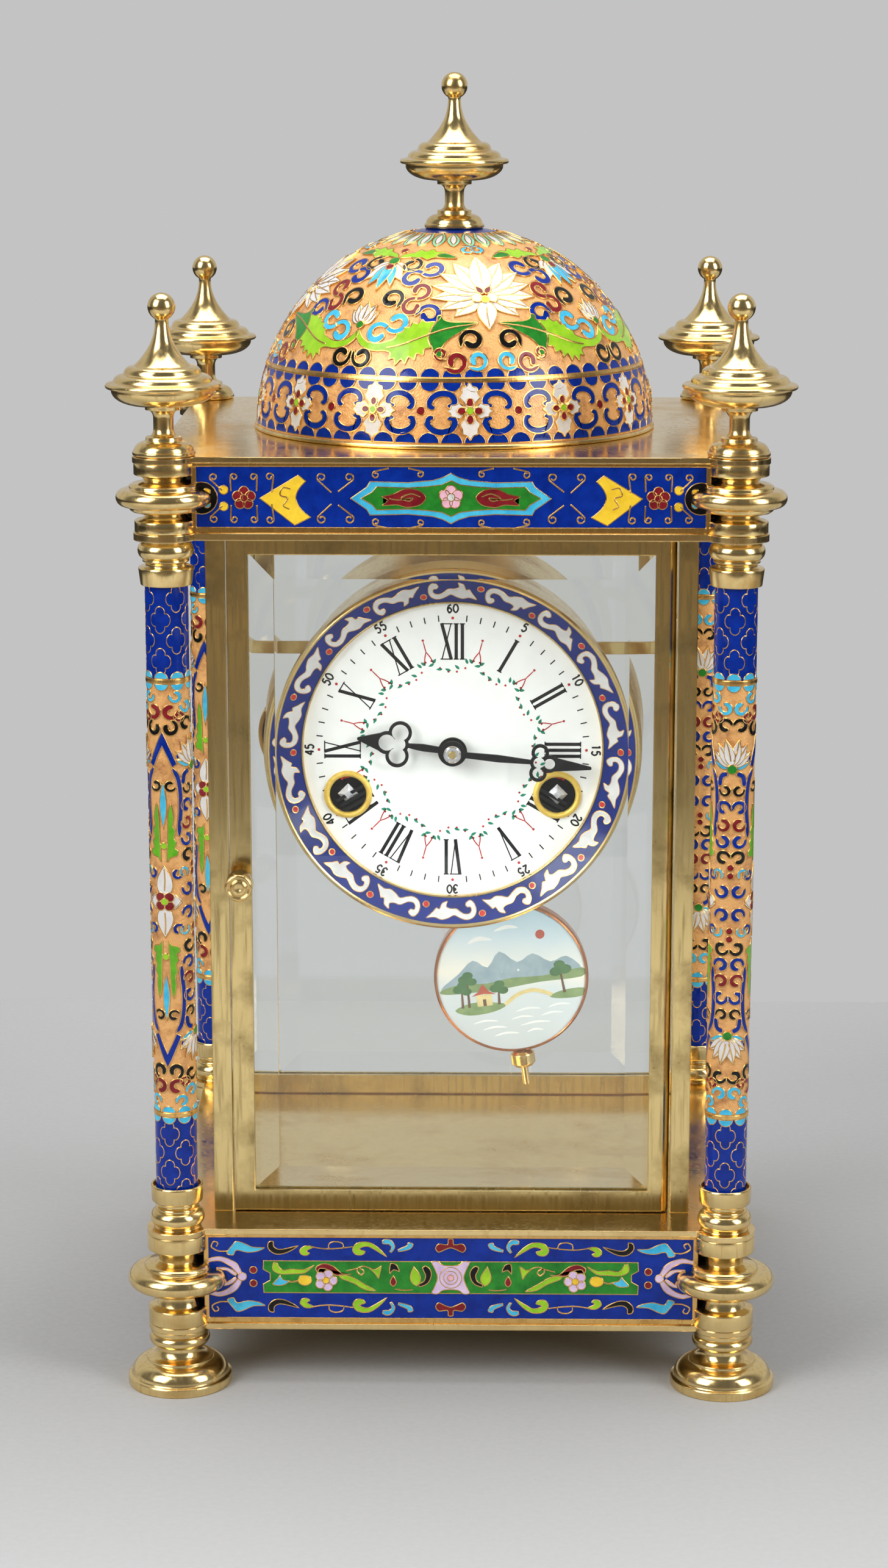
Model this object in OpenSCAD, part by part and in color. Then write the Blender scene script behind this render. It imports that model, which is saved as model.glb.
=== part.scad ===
// Four-column crystal regulator: a glazed brass case with a dome, an eight-day striking movement,
// two hinged doors and a swinging pendulum. Millimetres, Z up, front towards -Y,
// origin on the table under the centre of the case.

/* [Plan] */
// Column spacing across the front
column_span_x = 186.4; // [180:0.2:200]
// Column spacing from front to back
column_span_y = 168; // [160:0.5:185]
// Distance of the plate edges outside the column axes
plate_overhang = 4; // [3:0.25:6]
// Radius of the round ears at the plate corners
ear_r = 10.4; // [9.6:0.1:11]
// Width of the glass case over its posts
case_w = 163.4; // [155:0.2:166]
// Depth of the glass case over its posts
case_d = 139; // [132:0.5:144]

/* [Levels] */
// Height of the turned feet
foot_h = 20; // [18:0.5:24]
// Thickness of the two base plates
base_plate_t = 2; // [1.8:0.1:3]
// Height of the base panels
base_panel_h = 32.1; // [30:0.1:40]
// Clear height of the glass case
case_h = 236.3; // [225:0.5:250]
// Thickness of the lintel plate over the case
lintel_t = 2.4; // [2:0.1:3.5]
// Height of the frieze panels
frieze_h = 22.9; // [21:0.1:30]
// Thickness of the top plate
top_plate_t = 2; // [1.5:0.1:3]

/* [Feet] */
// Radius of the foot flange
foot_flange_r = 17.8; // [16:0.1:20]
// Height of the foot flange
foot_flange_h = 3; // [2:0.1:4]
// Radius of the ring above the ogee
foot_ring_r = 11.4; // [10:0.1:13]
// Level of that ring
foot_ring_z = 8.4; // [7.5:0.1:9.5]
// Radius of the foot neck
foot_neck_r = 7.3; // [6.6:0.1:8.5]
// Radius of the bead under the base
foot_bead_r = 10.4; // [9:0.1:11.5]
// Height of that bead
foot_bead_h = 4.4; // [3.6:0.1:4.8]

/* [Spools] */
// Radius of the end collars of the base spools
base_collar_r = 10.4; // [9.5:0.1:11]
// Height of those collars
base_collar_h = 5.6; // [4:0.1:6.5]
// Radius of the base spool necks
base_neck_r = 6.4; // [5.5:0.1:7.2]
// Radius of the large ring of the base spools
base_ring_r = 17.2; // [15:0.1:19]
// Height of that ring at its rounded edge
base_ring_h = 7.6; // [6:0.1:9]
// Radius of the end collars of the frieze spools
frieze_collar_r = 10; // [9:0.1:11]
// Height of those collars
frieze_collar_h = 4; // [3:0.1:5]
// Radius of the frieze spool necks
frieze_neck_r = 6.5; // [5.5:0.1:7.2]
// Radius of the ring of the frieze spools
frieze_ring_r = 16; // [14:0.1:18]
// Height of that ring
frieze_ring_h = 6.4; // [5:0.1:8]
// Radius of the step on both sides of a ring
ring_step_r = 11.6; // [10.5:0.1:13]
// Height of that step
ring_step_h = 1.4; // [0.8:0.1:2]

/* [Columns] */
// Radius of the enamelled tubes
tube_r = 7.05; // [6.5:0.05:7.2]
// Wall of the tubes
tube_wall = 1; // [0.8:0.1:2]
// Height of the cup and bead under a tube
cup_h = 15.3; // [14.5:0.1:18]
// Radius of the cup rim
cup_r = 8.9; // [8.6:0.1:10]
// Height of the cup
cup_rim_h = 6.1; // [5.5:0.1:7]
// Radius of the socket in the cup
cup_socket_r = 8.1; // [7.6:0.05:8.3]
// Depth of that socket
socket_depth = 4; // [3:0.1:5]
// Radius of the necks next to the cups
cup_neck_r = 6.3; // [5.5:0.1:7]
// Radius of the beads next to the plates
cup_bead_r = 9.2; // [8:0.1:10]
// Height of those beads
cup_bead_h = 5.8; // [5:0.1:6.2]
// Height of the capital over a tube
capital_h = 14.9; // [14.3:0.1:18]
// Rim radius of the flared capital cup
capital_r = 9.1; // [8.5:0.1:10]
// Radius of the capital cup at the tube
capital_foot_r = 8.4; // [8.1:0.1:9]
// Play of a tube in its capital
tube_play = 0.3; // [0.1:0.05:0.5]
// Radius of the rods that clamp the columns
rod_r = 2; // [1.5:0.1:2.5]
// Play of a rod in the pieces it clamps
rod_play = 0.15; // [0.1:0.05:0.3]
// Width across the flats of the rod heads
rod_head_w = 7; // [6:0.5:8]
// Height of the rod heads
rod_head_h = 3; // [2:0.1:4]
// Depth of the recess for a rod head under a foot
foot_recess = 6; // [5:0.1:7]
// Length of rod that screws into a finial
rod_grip = 8; // [6:0.5:12]

/* [Finials] */
// Radius of the cushion at the foot of a finial
finial_cushion_r = 10.25; // [9:0.05:11]
// Height of that cushion
finial_cushion_h = 4.8; // [4:0.1:6]
// Radius of the two stem flanges
finial_flange_r = 5.9; // [5:0.1:7]
// Height of a stem flange
finial_flange_h = 1.4; // [1:0.1:2]
// Radius of the stem
finial_stem_r = 3.3; // [3:0.1:4]
// Length of the stem between its flanges
finial_stem_h = 8.7; // [7:0.1:11]
// Radius of the bowl
finial_bowl_r = 16.8; // [15:0.1:18]
// Height of the bowl
finial_bowl_h = 5.6; // [4.5:0.1:7]
// Radius of the thin rim over the bowl
finial_rim_r = 18.7; // [18.2:0.1:21]
// Thickness of that rim
finial_rim_t = 1.7; // [1.2:0.1:2.4]
// Radius of the lower bead over the rim
finial_bead1_r = 16; // [14:0.1:17]
// Radius of the upper bead
finial_bead2_r = 12.5; // [11:0.1:13.5]
// Height of each bead
finial_bead_h = 2.75; // [2:0.05:3.5]
// Radius of the spire at its foot
finial_spire_r = 9.4; // [8:0.1:10.5]
// Radius of the spire under the ball
finial_tip_r = 2.15; // [1.8:0.05:3]
// Height of the spire
finial_spire_h = 15; // [12:0.1:18]
// Radius of the ball on top
finial_ball_r = 4.5; // [4:0.1:5.5]

/* [Dome] */
// Outer radius of the dome at its foot
dome_r = 68.5; // [60:0.5:76]
// Height of the dome
dome_h = 67.8; // [58:0.1:68]
// Angle of the dome arc from its foot to the flat seat of the finial
dome_end = 81.8; // [80:0.1:83]
// Wall of the dome
dome_wall = 2; // [1.5:0.1:3]
// Width of the rolled rim at the foot of the dome
dome_rim_w = 1.4; // [0.8:0.1:2]

/* [Panels] */
// Thickness of the enamelled panels
panel_t = 3; // [2:0.1:4]
// Set-back of the panels from the plate edges
panel_inset = 1; // [0.5:0.1:1.5]
// Distance of the panel ends from the column axes
panel_stop = 8.9; // [8.4:0.1:9.5]
// Play of the panels in the spool slots
panel_play = 0.2; // [0.1:0.05:0.4]

/* [Glazing] */
// Width of the square posts
post_w = 6.5; // [6:0.1:8]
// Width of the door stiles
stile_w = 7.2; // [7:0.1:9]
// Height of the door rails and side rails
rail_h = 7.5; // [6:0.1:9]
// Gap round the doors
door_gap = 0.45; // [0.35:0.05:0.7]
// Thickness of the glass
glass_t = 3.5; // [3:0.1:4]
// Thickness of the glass at its bevelled edge
glass_edge_t = 1.2; // [0.8:0.1:2]
// Width of the bevel that shows
bevel_w = 8.3; // [6:0.1:12]
// Depth of the grooves that hold the glass
glass_lap = 1.5; // [1:0.1:1.8]
// Play of the glass in its grooves
glass_play = 0.1; // [0.05:0.05:0.2]
// Set-back of the side glass from the outer face of the posts
side_glass_inset = 0.7; // [0.5:0.1:0.9]
// Radius of the door pivot pins
pin_r = 1.5; // [1.2:0.1:1.8]
// Running play of a pin in its plate
pin_play = 0.06; // [0.02:0.01:0.1]
// Depth of a pin in its stile
pin_grip = 8; // [6:0.5:12]
// Reach of a pin into its plate
pin_reach = 1.5; // [1.2:0.1:1.6]

/* [Latches] */
// Height of the door knobs over the case floor
knob_z = 118; // [90:1:140]
// Radius of the ball of a knob
knob_r = 4.5; // [4:0.1:5.5]
// Distance of the knob ball from the door
knob_stand = 7.5; // [7:0.1:9]
// Radius of the knob neck
knob_neck_r = 2.2; // [1.8:0.1:2.6]
// Radius of the knob collar
knob_collar_r = 3.2; // [2.8:0.1:3.5]
// Thickness of the knob collar
knob_collar_t = 1.2; // [0.8:0.1:1.6]
// Radius of the spindle through the stile
spindle_r = 1.4; // [1.2:0.1:1.6]
// Running play of the spindle
spindle_play = 0.06; // [0.02:0.01:0.1]
// Reach of the latch tongue from its spindle
tongue_len = 5.8; // [5:0.1:6]
// Width of the tongue
tongue_w = 4; // [3.4:0.1:4.4]
// Thickness of the tongue
tongue_t = 1.2; // [1:0.1:1.6]
// Gap between moving faces that pass each other
face_gap = 0.35; // [0.3:0.05:0.5]

/* [Dial] */
// Height of the dial centre as a share of the clear height of the case
dial_share = 0.664; // [0.64:0.002:0.68]
// Distance of the dial behind the front of the case
dial_inset = 29.5; // [27:0.5:33]
// Width of the edge of the dial under the bezel
dial_edge_w = 6.1; // [5:0.1:8]
// Thickness of the dial
dial_t = 1.2; // [1:0.1:2]
// Radius of the centre hole in the dial
dial_hole_r = 4.5; // [4:0.1:5]
// Width of the gilt lip between dial and enamel ring
bezel_lip_w = 0.8; // [0.5:0.1:1.2]
// Radial width of the enamel ring
ring_w = 8; // [6:0.1:9]
// Rise of the enamel ring from the dial to the rim
ring_rise = 4.4; // [3:0.1:5.5]
// Thickness of the enamel ring
ring_t = 0.8; // [0.6:0.1:1.2]
// Depth of brass under the enamel ring at the dial
bezel_base_t = 1.2; // [0.8:0.1:1.8]
// Width of the bezel rim
bezel_rim_w = 1.6; // [1.2:0.1:3]
// Height of the bezel rim over the enamel
bezel_rim_rise = 1; // [0.5:0.1:1.6]
// Length of the bezel skirt over the drum
bezel_skirt = 3; // [2:0.1:5]
// Wall of the drum
drum_wall = 1.2; // [1:0.1:2]
// Play of the bezel skirt on the drum
skirt_play = 0.05; // [0.03:0.01:0.1]
// Inner radius of the winding-hole eyelets
eyelet_r = 6.25; // [5.5:0.05:7]
// Wall of an eyelet tube
eyelet_wall = 0.7; // [0.5:0.1:1]
// Flange width of an eyelet
eyelet_flange_w = 2.1; // [1.5:0.1:2.5]
// Flange thickness of an eyelet
eyelet_t = 0.8; // [0.5:0.1:1.2]
// Length of the hour hand
hour_len = 33; // [28:0.5:36]
// Length of the minute hand
minute_len = 47.8; // [42:0.1:50]
// Thickness of the hands
hand_t = 0.8; // [0.6:0.1:1]
// Width of the outline round the trefoil of a hand
hand_stroke = 1.15; // [0.9:0.05:1.4]
// Radius of the collet of the hour hand
hour_collet_r = 5; // [4.6:0.1:5.6]
// Place of the hour trefoil as a share of the hand
hour_trefoil = 0.564; // [0.5:0.002:0.6]
// Radius of the lobes of the hour trefoil
hour_lobe_r = 4; // [3.2:0.1:4.4]
// Radius of the collet of the minute hand
minute_collet_r = 4.4; // [4:0.1:5]
// Place of the minute trefoil as a share of the hand
minute_trefoil = 0.623; // [0.56:0.001:0.68]
// Radius of the lobes of the minute trefoil
minute_lobe_r = 3; // [2.6:0.1:3.4]
// Dial minutes shown at rest
time_minute = 16; // [0:1:59]
// Dial hours shown at rest
time_hour = 9; // [0:1:11]

/* [Movement] */
// Thickness of the movement plates
mv_plate_t = 2; // [1.6:0.1:2.5]
// Gap between the movement plates and the drum
plate_gap = 3.3; // [2.8:0.1:4.3]
// Distance between the movement plates
mv_space = 32; // [31.5:0.1:34]
// Room for the motion work behind the dial
motion_gap = 8.8; // [8.6:0.1:10]
// Inner radius of the drum
drum_r = 57.3; // [57.1:0.1:59]
// Radius of the pillars
pillar_r = 3; // [2.5:0.1:3.5]
// Distance of the pillars inside the edge of the plates
pillar_inset = 5.5; // [4.5:0.1:6.5]
// Radius of a fine arbor
arbor_r = 1.1; // [0.9:0.05:1.2]
// Radius of a fine pivot
pivot_r = 0.8; // [0.6:0.05:0.85]
// Running play of a pivot in its plate
pivot_play = 0.05; // [0.02:0.01:0.1]
// Thickness of a train wheel
wheel_t = 1.6; // [1.2:0.1:1.8]
// Width of the rim of a train wheel inside its teeth
wheel_rim_w = 1.8; // [1.5:0.1:2.2]
// Width of the arms of a train wheel
wheel_arm_w = 2; // [1.6:0.1:2.4]
// Extra length of a pinion on each side of its wheel
pinion_over = 1; // [0.6:0.1:1.2]
// Length of a spring barrel in front of its teeth
barrel_len = 16; // [15:0.1:16.5]
// Length of the barrel teeth
barrel_tooth_len = 2.5; // [2:0.1:2.8]
// Gap between the front plate and a barrel
barrel_gap = 1.5; // [1.4:0.1:1.8]
// Radius of a barrel
barrel_r = 15.2; // [14:0.1:15.4]
// Radius of a barrel arbor
barrel_arbor_r = 2.5; // [2:0.1:2.6]
// Radius of a winding pivot in the front plate
winding_pivot_r = 2.6; // [2.5:0.1:3]
// Width of the winding squares
winding_w = 3.7; // [3:0.1:3.7]
// Gap between a winding square and the front of the dial
winding_gap = 1; // [0.5:0.1:3]
// Radius of a ratchet wheel
ratchet_r = 9; // [8:0.1:10]
// Teeth of a ratchet wheel
ratchet_teeth = 20; // [16:1:24]
// Thickness of ratchet wheels and clicks
ratchet_t = 2; // [1.5:0.1:2.4]
// Distance of a click pivot from its ratchet centre
click_ring = 14; // [13.6:0.1:15]

/* [Train] */
// Module of the barrel teeth
barrel_m = 0.6; // [0.58:0.005:0.61]
// Teeth of a spring barrel
barrel_teeth = 55; // [54:1:56]
// Leaves of the pinion driven by a barrel
great_leaves = 12; // [11:1:12]
// Module of the intermediate wheel
inter_m = 0.5; // [0.49:0.005:0.51]
// Teeth of the intermediate wheel
inter_teeth = 65; // [63:1:65]
// Leaves of the centre pinion
centre_leaves = 12; // [12:1:13]
// Module of the centre and third wheels
fine_m = 0.4; // [0.39:0.005:0.41]
// Teeth of the centre wheel
centre_teeth = 84; // [80:1:85]
// Teeth of the third wheel
third_teeth = 72; // [68:1:74]
// Leaves of the third, escape and fly pinions
fine_leaves = 8; // [8:1:9]
// Teeth of the escape wheel
escape_teeth = 50; // [40:1:54]
// Tip radius of the escape wheel
escape_r = 11.5; // [10.5:0.1:12]
// Distance of the pallet arbor over the escape arbor
pallet_rise = 18; // [17.5:0.1:18.5]
// Radius of the pallet nibs round the escape arbor
nib_ring = 14; // [13.8:0.1:14.4]
// Direction of the intermediate arbor from the centre
inter_dir = -20; // [-22:0.5:-18]
// Direction of the time barrel from the intermediate arbor
barrel_dir = -27; // [-29:0.5:-26]
// Direction of the third arbor from the centre
third_dir = 61.4; // [58:0.2:64]
// Module of the hammer wheel
hammer_m = 0.45; // [0.44:0.005:0.46]
// Teeth of the hammer wheel
hammer_teeth = 64; // [60:1:66]
// Direction of the hammer wheel from the strike barrel
hammer_wheel_dir = 62; // [60:0.5:64]
// Direction of the fly from the hammer wheel
fly_dir = 60; // [56:0.5:64]
// Radius of the fly vanes
fly_r = 8; // [6:0.1:8.5]
// Length of the fly vanes
fly_len = 8; // [6:0.1:8.5]
// Number of lifting pins on the hammer wheel
lift_pins = 8; // [6:1:10]
// Radius of the circle of lifting pins
lift_ring = 11.3; // [10.5:0.1:11.4]
// Module of the cannon pinion and minute wheel
motion_m = 0.5; // [0.49:0.005:0.51]
// Leaves of the cannon pinion
cannon_leaves = 12; // [12:1:13]
// Teeth of the minute wheel
minute_teeth = 36; // [34:1:37]
// Leaves of the minute pinion
minute_leaves = 10; // [9:1:10]

/* [Pendulum] */
// Swing to either side
swing = 8.2; // [4:0.1:9]
// Length from the pivot to the middle of the bob
pendulum_len = 145.5; // [135:0.5:155]
// Distance of the pendulum behind the back plate
pendulum_back = 11; // [10.5:0.1:14]
// Radius of the pendulum rod
pend_rod_r = 1.3; // [1:0.1:1.5]
// Radius of the bob
bob_r = 28.2; // [24:0.1:30]
// Thickness of the bob at its rim
bob_rim_t = 6; // [4.5:0.1:6.5]
// Crown of the bob on each face
bob_crown = 1.6; // [1:0.1:2]
// Width of the bob rim
bob_rim_w = 1.5; // [1:0.1:3]
// Radius of the rating nut
nut_r = 4.4; // [3.5:0.1:5]
// Height of the rating nut
nut_h = 6; // [4:0.1:8]
// Length of rod below the rating nut
rod_tail = 7; // [3:0.5:9]
// Radius of the suspension stud
stud_r = 1.3; // [1:0.1:1.4]
// Running play of the pendulum eye on its stud
stud_play = 0.06; // [0.02:0.01:0.1]
// Length of the crutch
crutch_len = 24; // [20:0.5:30]

/* [Strike] */
// Radius of the bell
bell_r = 18; // [15:0.1:18.5]
// Depth of the bell
bell_depth = 11; // [9:0.1:12]
// Wall of the bell
bell_wall = 1.4; // [1:0.1:2]
// Radius of the hammer head
hammer_head_r = 2.5; // [2:0.1:2.8]
// Length of the hammer head
hammer_head_len = 6; // [4:0.5:8]
// Length of the hammer arm
hammer_arm = 22.6; // [22:0.1:23]
// Gap between hammer and bell at rest
hammer_gap = 0.5; // [0.4:0.1:0.8]
// Direction of the hammer arbor from the hammer wheel
hammer_dir = 126; // [124:0.5:128]
// Distance of the hammer arbor from the hammer wheel
hammer_ring = 29.6; // [29:0.1:30]

/* [Straps] */
// Height of the straps over the dial centre
strap_z = 27; // [25:0.5:30]
// Width of the straps
strap_w = 12; // [9:0.5:14]
// Thickness of the straps
strap_t = 2; // [1.5:0.1:2.5]
// Reach of the strap lugs outside the drum
lug_reach = 5; // [4:0.5:8]

/* [Hidden] */
$fn = 72;

// Shared positions
col_x = column_span_x / 2;
col_y = column_span_y / 2;
plate_x = col_x + plate_overhang;
plate_y = col_y + plate_overhang;
post_x = case_w / 2;
post_y = case_d / 2;
z_base = foot_h;
z_panel = z_base + base_plate_t;
z_base_top = z_panel + base_panel_h;
z_floor = z_base_top + base_plate_t;
z_lintel = z_floor + case_h;
z_frieze = z_lintel + lintel_t;
z_top = z_frieze + frieze_h;
z_roof = z_top + top_plate_t;
z_dome_top = z_roof + dome_h;
rod_hole_r = rod_r + rod_play;
head_space_r = rod_head_w / 2 / cos(30) + 1;

// Shared finial levels
f_flange1 = finial_cushion_h;
f_stem = f_flange1 + finial_flange_h;
f_flange2 = f_stem + finial_stem_h;
f_bowl = f_flange2 + finial_flange_h;
f_rim = f_bowl + finial_bowl_h;
f_bead1 = f_rim + finial_rim_t;
f_bead2 = f_bead1 + finial_bead_h;
f_spire = f_bead2 + finial_bead_h;
f_ball = f_spire + finial_spire_h
    + sqrt(finial_ball_r * finial_ball_r - finial_tip_r * finial_tip_r);

// Door and glass values
door_x = post_x - post_w - door_gap;
door_z0 = z_floor + door_gap;
door_z1 = z_lintel - door_gap;
door_t = post_w;
hinge_x = door_x - door_t / 2;
hinge_y = post_y - door_t / 2;
knob_x = door_x - stile_w / 2;
knob_at = z_floor + knob_z;
groove_t = glass_t + 2 * glass_play;
side_glass_x = post_x - side_glass_inset - groove_t / 2;

// Depths of the movement, counted along Y from the centre of the case
y_dial = dial_inset - post_y;
y_front = y_dial + dial_t + motion_gap;
y_front_in = y_front + mv_plate_t;
y_back = y_front_in + mv_space;
y_back_out = y_back + mv_plate_t;
y_barrel = y_front_in + barrel_gap;
y_great = y_barrel + barrel_len;
y_great_end = y_great + barrel_tooth_len;
level_gap = 1;
end_shake = 0.2;
y_second = y_great_end + pinion_over + 2 * level_gap;
y_centre = y_great - pinion_over - level_gap - wheel_t;
y_third = y_centre - pinion_over - 3 * level_gap - wheel_t;
y_escape = y_second + wheel_t + 2.4 * level_gap;
escape_t = 1.2;
y_fly = y_third + 3.2 * level_gap;
y_ratchet = y_front - 1.5 * level_gap;
y_pend = y_back_out + pendulum_back;
z_dial = z_floor + dial_share * case_h;

// Plan of the movement, X and Z from the dial centre, in scale with the drum
drum_ref = 57.3;
plan = drum_r / drum_ref;
function polar(r, a) = [r * cos(a), r * sin(a)];
function pitch_r(m, teeth) = plan * m * teeth / 2;
function bearing(a, b) = atan2(b[1] - a[1], b[0] - a[0]);
centre_at = [0, 0];
inter_at = polar(pitch_r(inter_m, inter_teeth + centre_leaves), inter_dir);
barrel_at = inter_at + polar(pitch_r(barrel_m, barrel_teeth + great_leaves), barrel_dir);
strike_at = [-barrel_at[0], barrel_at[1]];
third_at = polar(pitch_r(fine_m, centre_teeth + fine_leaves), third_dir);
escape_reach = pitch_r(fine_m, third_teeth + fine_leaves);
escape_at = [0, third_at[1] + sqrt(escape_reach * escape_reach - third_at[0] * third_at[0])];
pallet_at = escape_at + [0, plan * pallet_rise];
hammer_wheel_at = strike_at + polar(pitch_r(barrel_m, barrel_teeth + great_leaves), hammer_wheel_dir);
fly_at = hammer_wheel_at + polar(pitch_r(hammer_m, hammer_teeth + fine_leaves), fly_dir);
hammer_at = hammer_wheel_at + polar(plan * hammer_ring, hammer_dir);
motion_reach = pitch_r(motion_m, cannon_leaves + minute_teeth);
minute_at = [0, -motion_reach];
hour_teeth = 4 * minute_leaves;
hour_m = motion_m * (cannon_leaves + minute_teeth) / (minute_leaves + hour_teeth);
arm_at = polar(plan * hammer_arm, -45);
bell_rim = plan * bell_r;
head_at = hammer_at + arm_at;
bell_at = head_at + polar(bell_rim + hammer_head_r + hammer_gap, 225);
pillar_dirs = [51.7, 128.3, 250.8, 289.2];
fine_arbors = [inter_at, third_at, escape_at, hammer_wheel_at, fly_at, hammer_at];

// Tooth phases that put every pair in mesh at rest
function in_mesh(phase, teeth, next, dir) = dir + 180 - (phase - dir) * teeth / next + 180 / next;
hand_phase = -6 * time_minute;
inter_phase = in_mesh(0, centre_leaves, inter_teeth, bearing(centre_at, inter_at));
barrel_phase = in_mesh(inter_phase, great_leaves, barrel_teeth, bearing(inter_at, barrel_at));
third_phase = in_mesh(0, centre_teeth, fine_leaves, bearing(centre_at, third_at));
escape_phase = in_mesh(third_phase, third_teeth, fine_leaves, bearing(third_at, escape_at));
minute_phase = in_mesh(0, cannon_leaves, minute_teeth, bearing(centre_at, minute_at));
hour_phase = in_mesh(minute_phase, minute_leaves, hour_teeth, bearing(minute_at, centre_at));
hammer_phase = in_mesh(0, barrel_teeth, great_leaves, bearing(strike_at, hammer_wheel_at));
fly_phase = in_mesh(hammer_phase, hammer_teeth, fine_leaves, bearing(hammer_wheel_at, fly_at));

// Profile pieces: quarter ellipses that leave upright or level, and a half-round bead
steps = 6;
function bulge(a, b) = [for (i = [0:steps]) let (t = 90 * i / steps)
    [b[0] + (a[0] - b[0]) * cos(t), a[1] + (b[1] - a[1]) * sin(t)]];
function scoop(a, b) = [for (i = [0:steps]) let (t = 90 * i / steps)
    [a[0] + (b[0] - a[0]) * sin(t), b[1] + (a[1] - b[1]) * cos(t)]];
function bead(r, z0, h, depth) = [for (i = [0:steps]) let (t = 180 * i / steps - 90)
    [r - depth + depth * cos(t), z0 + h / 2 + h / 2 * sin(t)]];

// Placing helpers
module at_columns() {
    for (side_x = [0, 1], side_y = [0, 1])
        mirror([side_x, 0, 0]) mirror([0, side_y, 0]) translate([col_x, col_y, 0]) children();
}
module both_sides() {
    children();
    mirror([1, 0, 0]) children();
}
module turned(points) {
    rotate_extrude() polygon(points);
}
module drilled(h, r) {
    difference() {
        children();
        translate([0, 0, -1]) cylinder(r = r, h = h + 2);
    }
}
// Solids on axes along Y: u, w are X and Z from the dial centre
module from_dial() {
    translate([0, 0, z_dial]) children();
}
module turned_y(points) {
    rotate([90, 0, 0]) rotate_extrude() polygon([for (p = points) [p[0], -p[1]]]);
}
module slab_y(y0, y1) {
    translate([0, y1, 0]) rotate([90, 0, 0]) linear_extrude(y1 - y0) children();
}
module rod_y(at, r, y0, y1) {
    translate([at[0], y1, at[1]]) rotate([90, 0, 0]) cylinder(r = r, h = y1 - y0);
}
module box(low, high) {
    translate(low) cube(high - low);
}

// Case
module foot() {
    bead_z = foot_h - 1.8 - foot_bead_h;
    drilled(foot_h, rod_hole_r) difference() {
        turned(concat([[0, 0], [foot_flange_r, 0], [foot_flange_r, foot_flange_h]],
            bulge([foot_flange_r - 1.2, foot_flange_h + 0.4], [foot_ring_r, foot_ring_z]),
            [[foot_ring_r, foot_ring_z + 1]],
            scoop([foot_ring_r - 0.6, foot_ring_z + 1], [foot_neck_r, bead_z - 0.8]),
            [[foot_neck_r, bead_z]], bead(foot_bead_r, bead_z, foot_bead_h, 2.2),
            [[foot_bead_r - 0.5, bead_z + foot_bead_h], [foot_bead_r - 0.5, foot_h], [0, foot_h]]));
        translate([0, 0, -1]) cylinder(r = head_space_r, h = foot_recess + 1);
    }
}
module feet() {
    color("goldenrod") at_columns() foot();
}
module eared_plate(t) {
    linear_extrude(t) {
        square([2 * plate_x, 2 * plate_y], center = true);
        at_columns() circle(r = ear_r);
    }
}
module rod_holes(z, t) {
    at_columns() translate([0, 0, z - 1]) cylinder(r = rod_hole_r, h = t + 2);
}
module hinge_holes(z0, z1) {
    for (side = [0, 1])
        mirror([0, side, 0]) translate([hinge_x, -hinge_y, z0])
            cylinder(r = pin_r + pin_play, h = z1 - z0);
}
module base_bottom_plate() {
    color("gold") difference() {
        translate([0, 0, z_base]) eared_plate(base_plate_t);
        rod_holes(z_base, base_plate_t);
    }
}
module base_top_plate() {
    color("gold") difference() {
        translate([0, 0, z_base_top]) eared_plate(base_plate_t);
        rod_holes(z_base_top, base_plate_t);
        hinge_holes(z_floor - pin_reach - end_shake, z_floor + 1);
    }
}
module lintel_plate() {
    color("gold") difference() {
        translate([0, 0, z_lintel]) eared_plate(lintel_t);
        rod_holes(z_lintel, lintel_t);
        hinge_holes(z_lintel - 1, z_lintel + pin_reach + end_shake);
    }
}
module top_plate() {
    color("gold") difference() {
        translate([0, 0, z_top]) eared_plate(top_plate_t);
        rod_holes(z_top, top_plate_t);
        translate([0, 0, z_top - 1]) cylinder(r = rod_hole_r, h = top_plate_t + 2);
    }
}
// A spool is slotted where the ends of two panels run into its ring
module spool(h, collar_r, collar_h, neck_r, ring_r, ring_h) {
    mid = h / 2;
    ring0 = mid - ring_h / 2;
    ring1 = mid + ring_h / 2;
    edge = ring_h / 2;
    drilled(h, rod_hole_r) difference() {
        turned(concat([[0, 0], [collar_r, 0], [collar_r, collar_h], [neck_r + 1, collar_h + 0.6],
            [neck_r, ring0 - ring_step_h - 0.8], [ring_step_r - 1, ring0 - ring_step_h],
            [ring_step_r, ring0 - ring_step_h / 2], [ring_step_r, ring0 + 0.4]],
            bead(ring_r, ring0 + 0.4, ring_h - 0.8, edge - 0.4),
            [[ring_step_r, ring1 - 0.4], [ring_step_r, ring1 + ring_step_h / 2],
            [ring_step_r - 1, ring1 + ring_step_h], [neck_r, ring1 + ring_step_h + 0.8],
            [neck_r + 1, h - collar_h - 0.6], [collar_r, h - collar_h], [collar_r, h], [0, h]]));
        panel_slots(h);
    }
}
module panel_slots(h) {
    slot = panel_t + 2 * panel_play;
    outer = plate_overhang - panel_inset + panel_play;
    reach = base_ring_r + frieze_ring_r;
    inner = panel_stop - panel_play;
    box([-reach, outer - slot, -1], [-inner, outer, h + 1]);
    box([outer - slot, -reach, -1], [outer, -inner, h + 1]);
}
module base_spools() {
    color("goldenrod") at_columns() translate([0, 0, z_panel])
        spool(base_panel_h, base_collar_r, base_collar_h, base_neck_r, base_ring_r, base_ring_h);
}
module frieze_spools() {
    color("goldenrod") at_columns() translate([0, 0, z_frieze])
        spool(frieze_h, frieze_collar_r, frieze_collar_h, frieze_neck_r, frieze_ring_r, frieze_ring_h);
}
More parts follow.
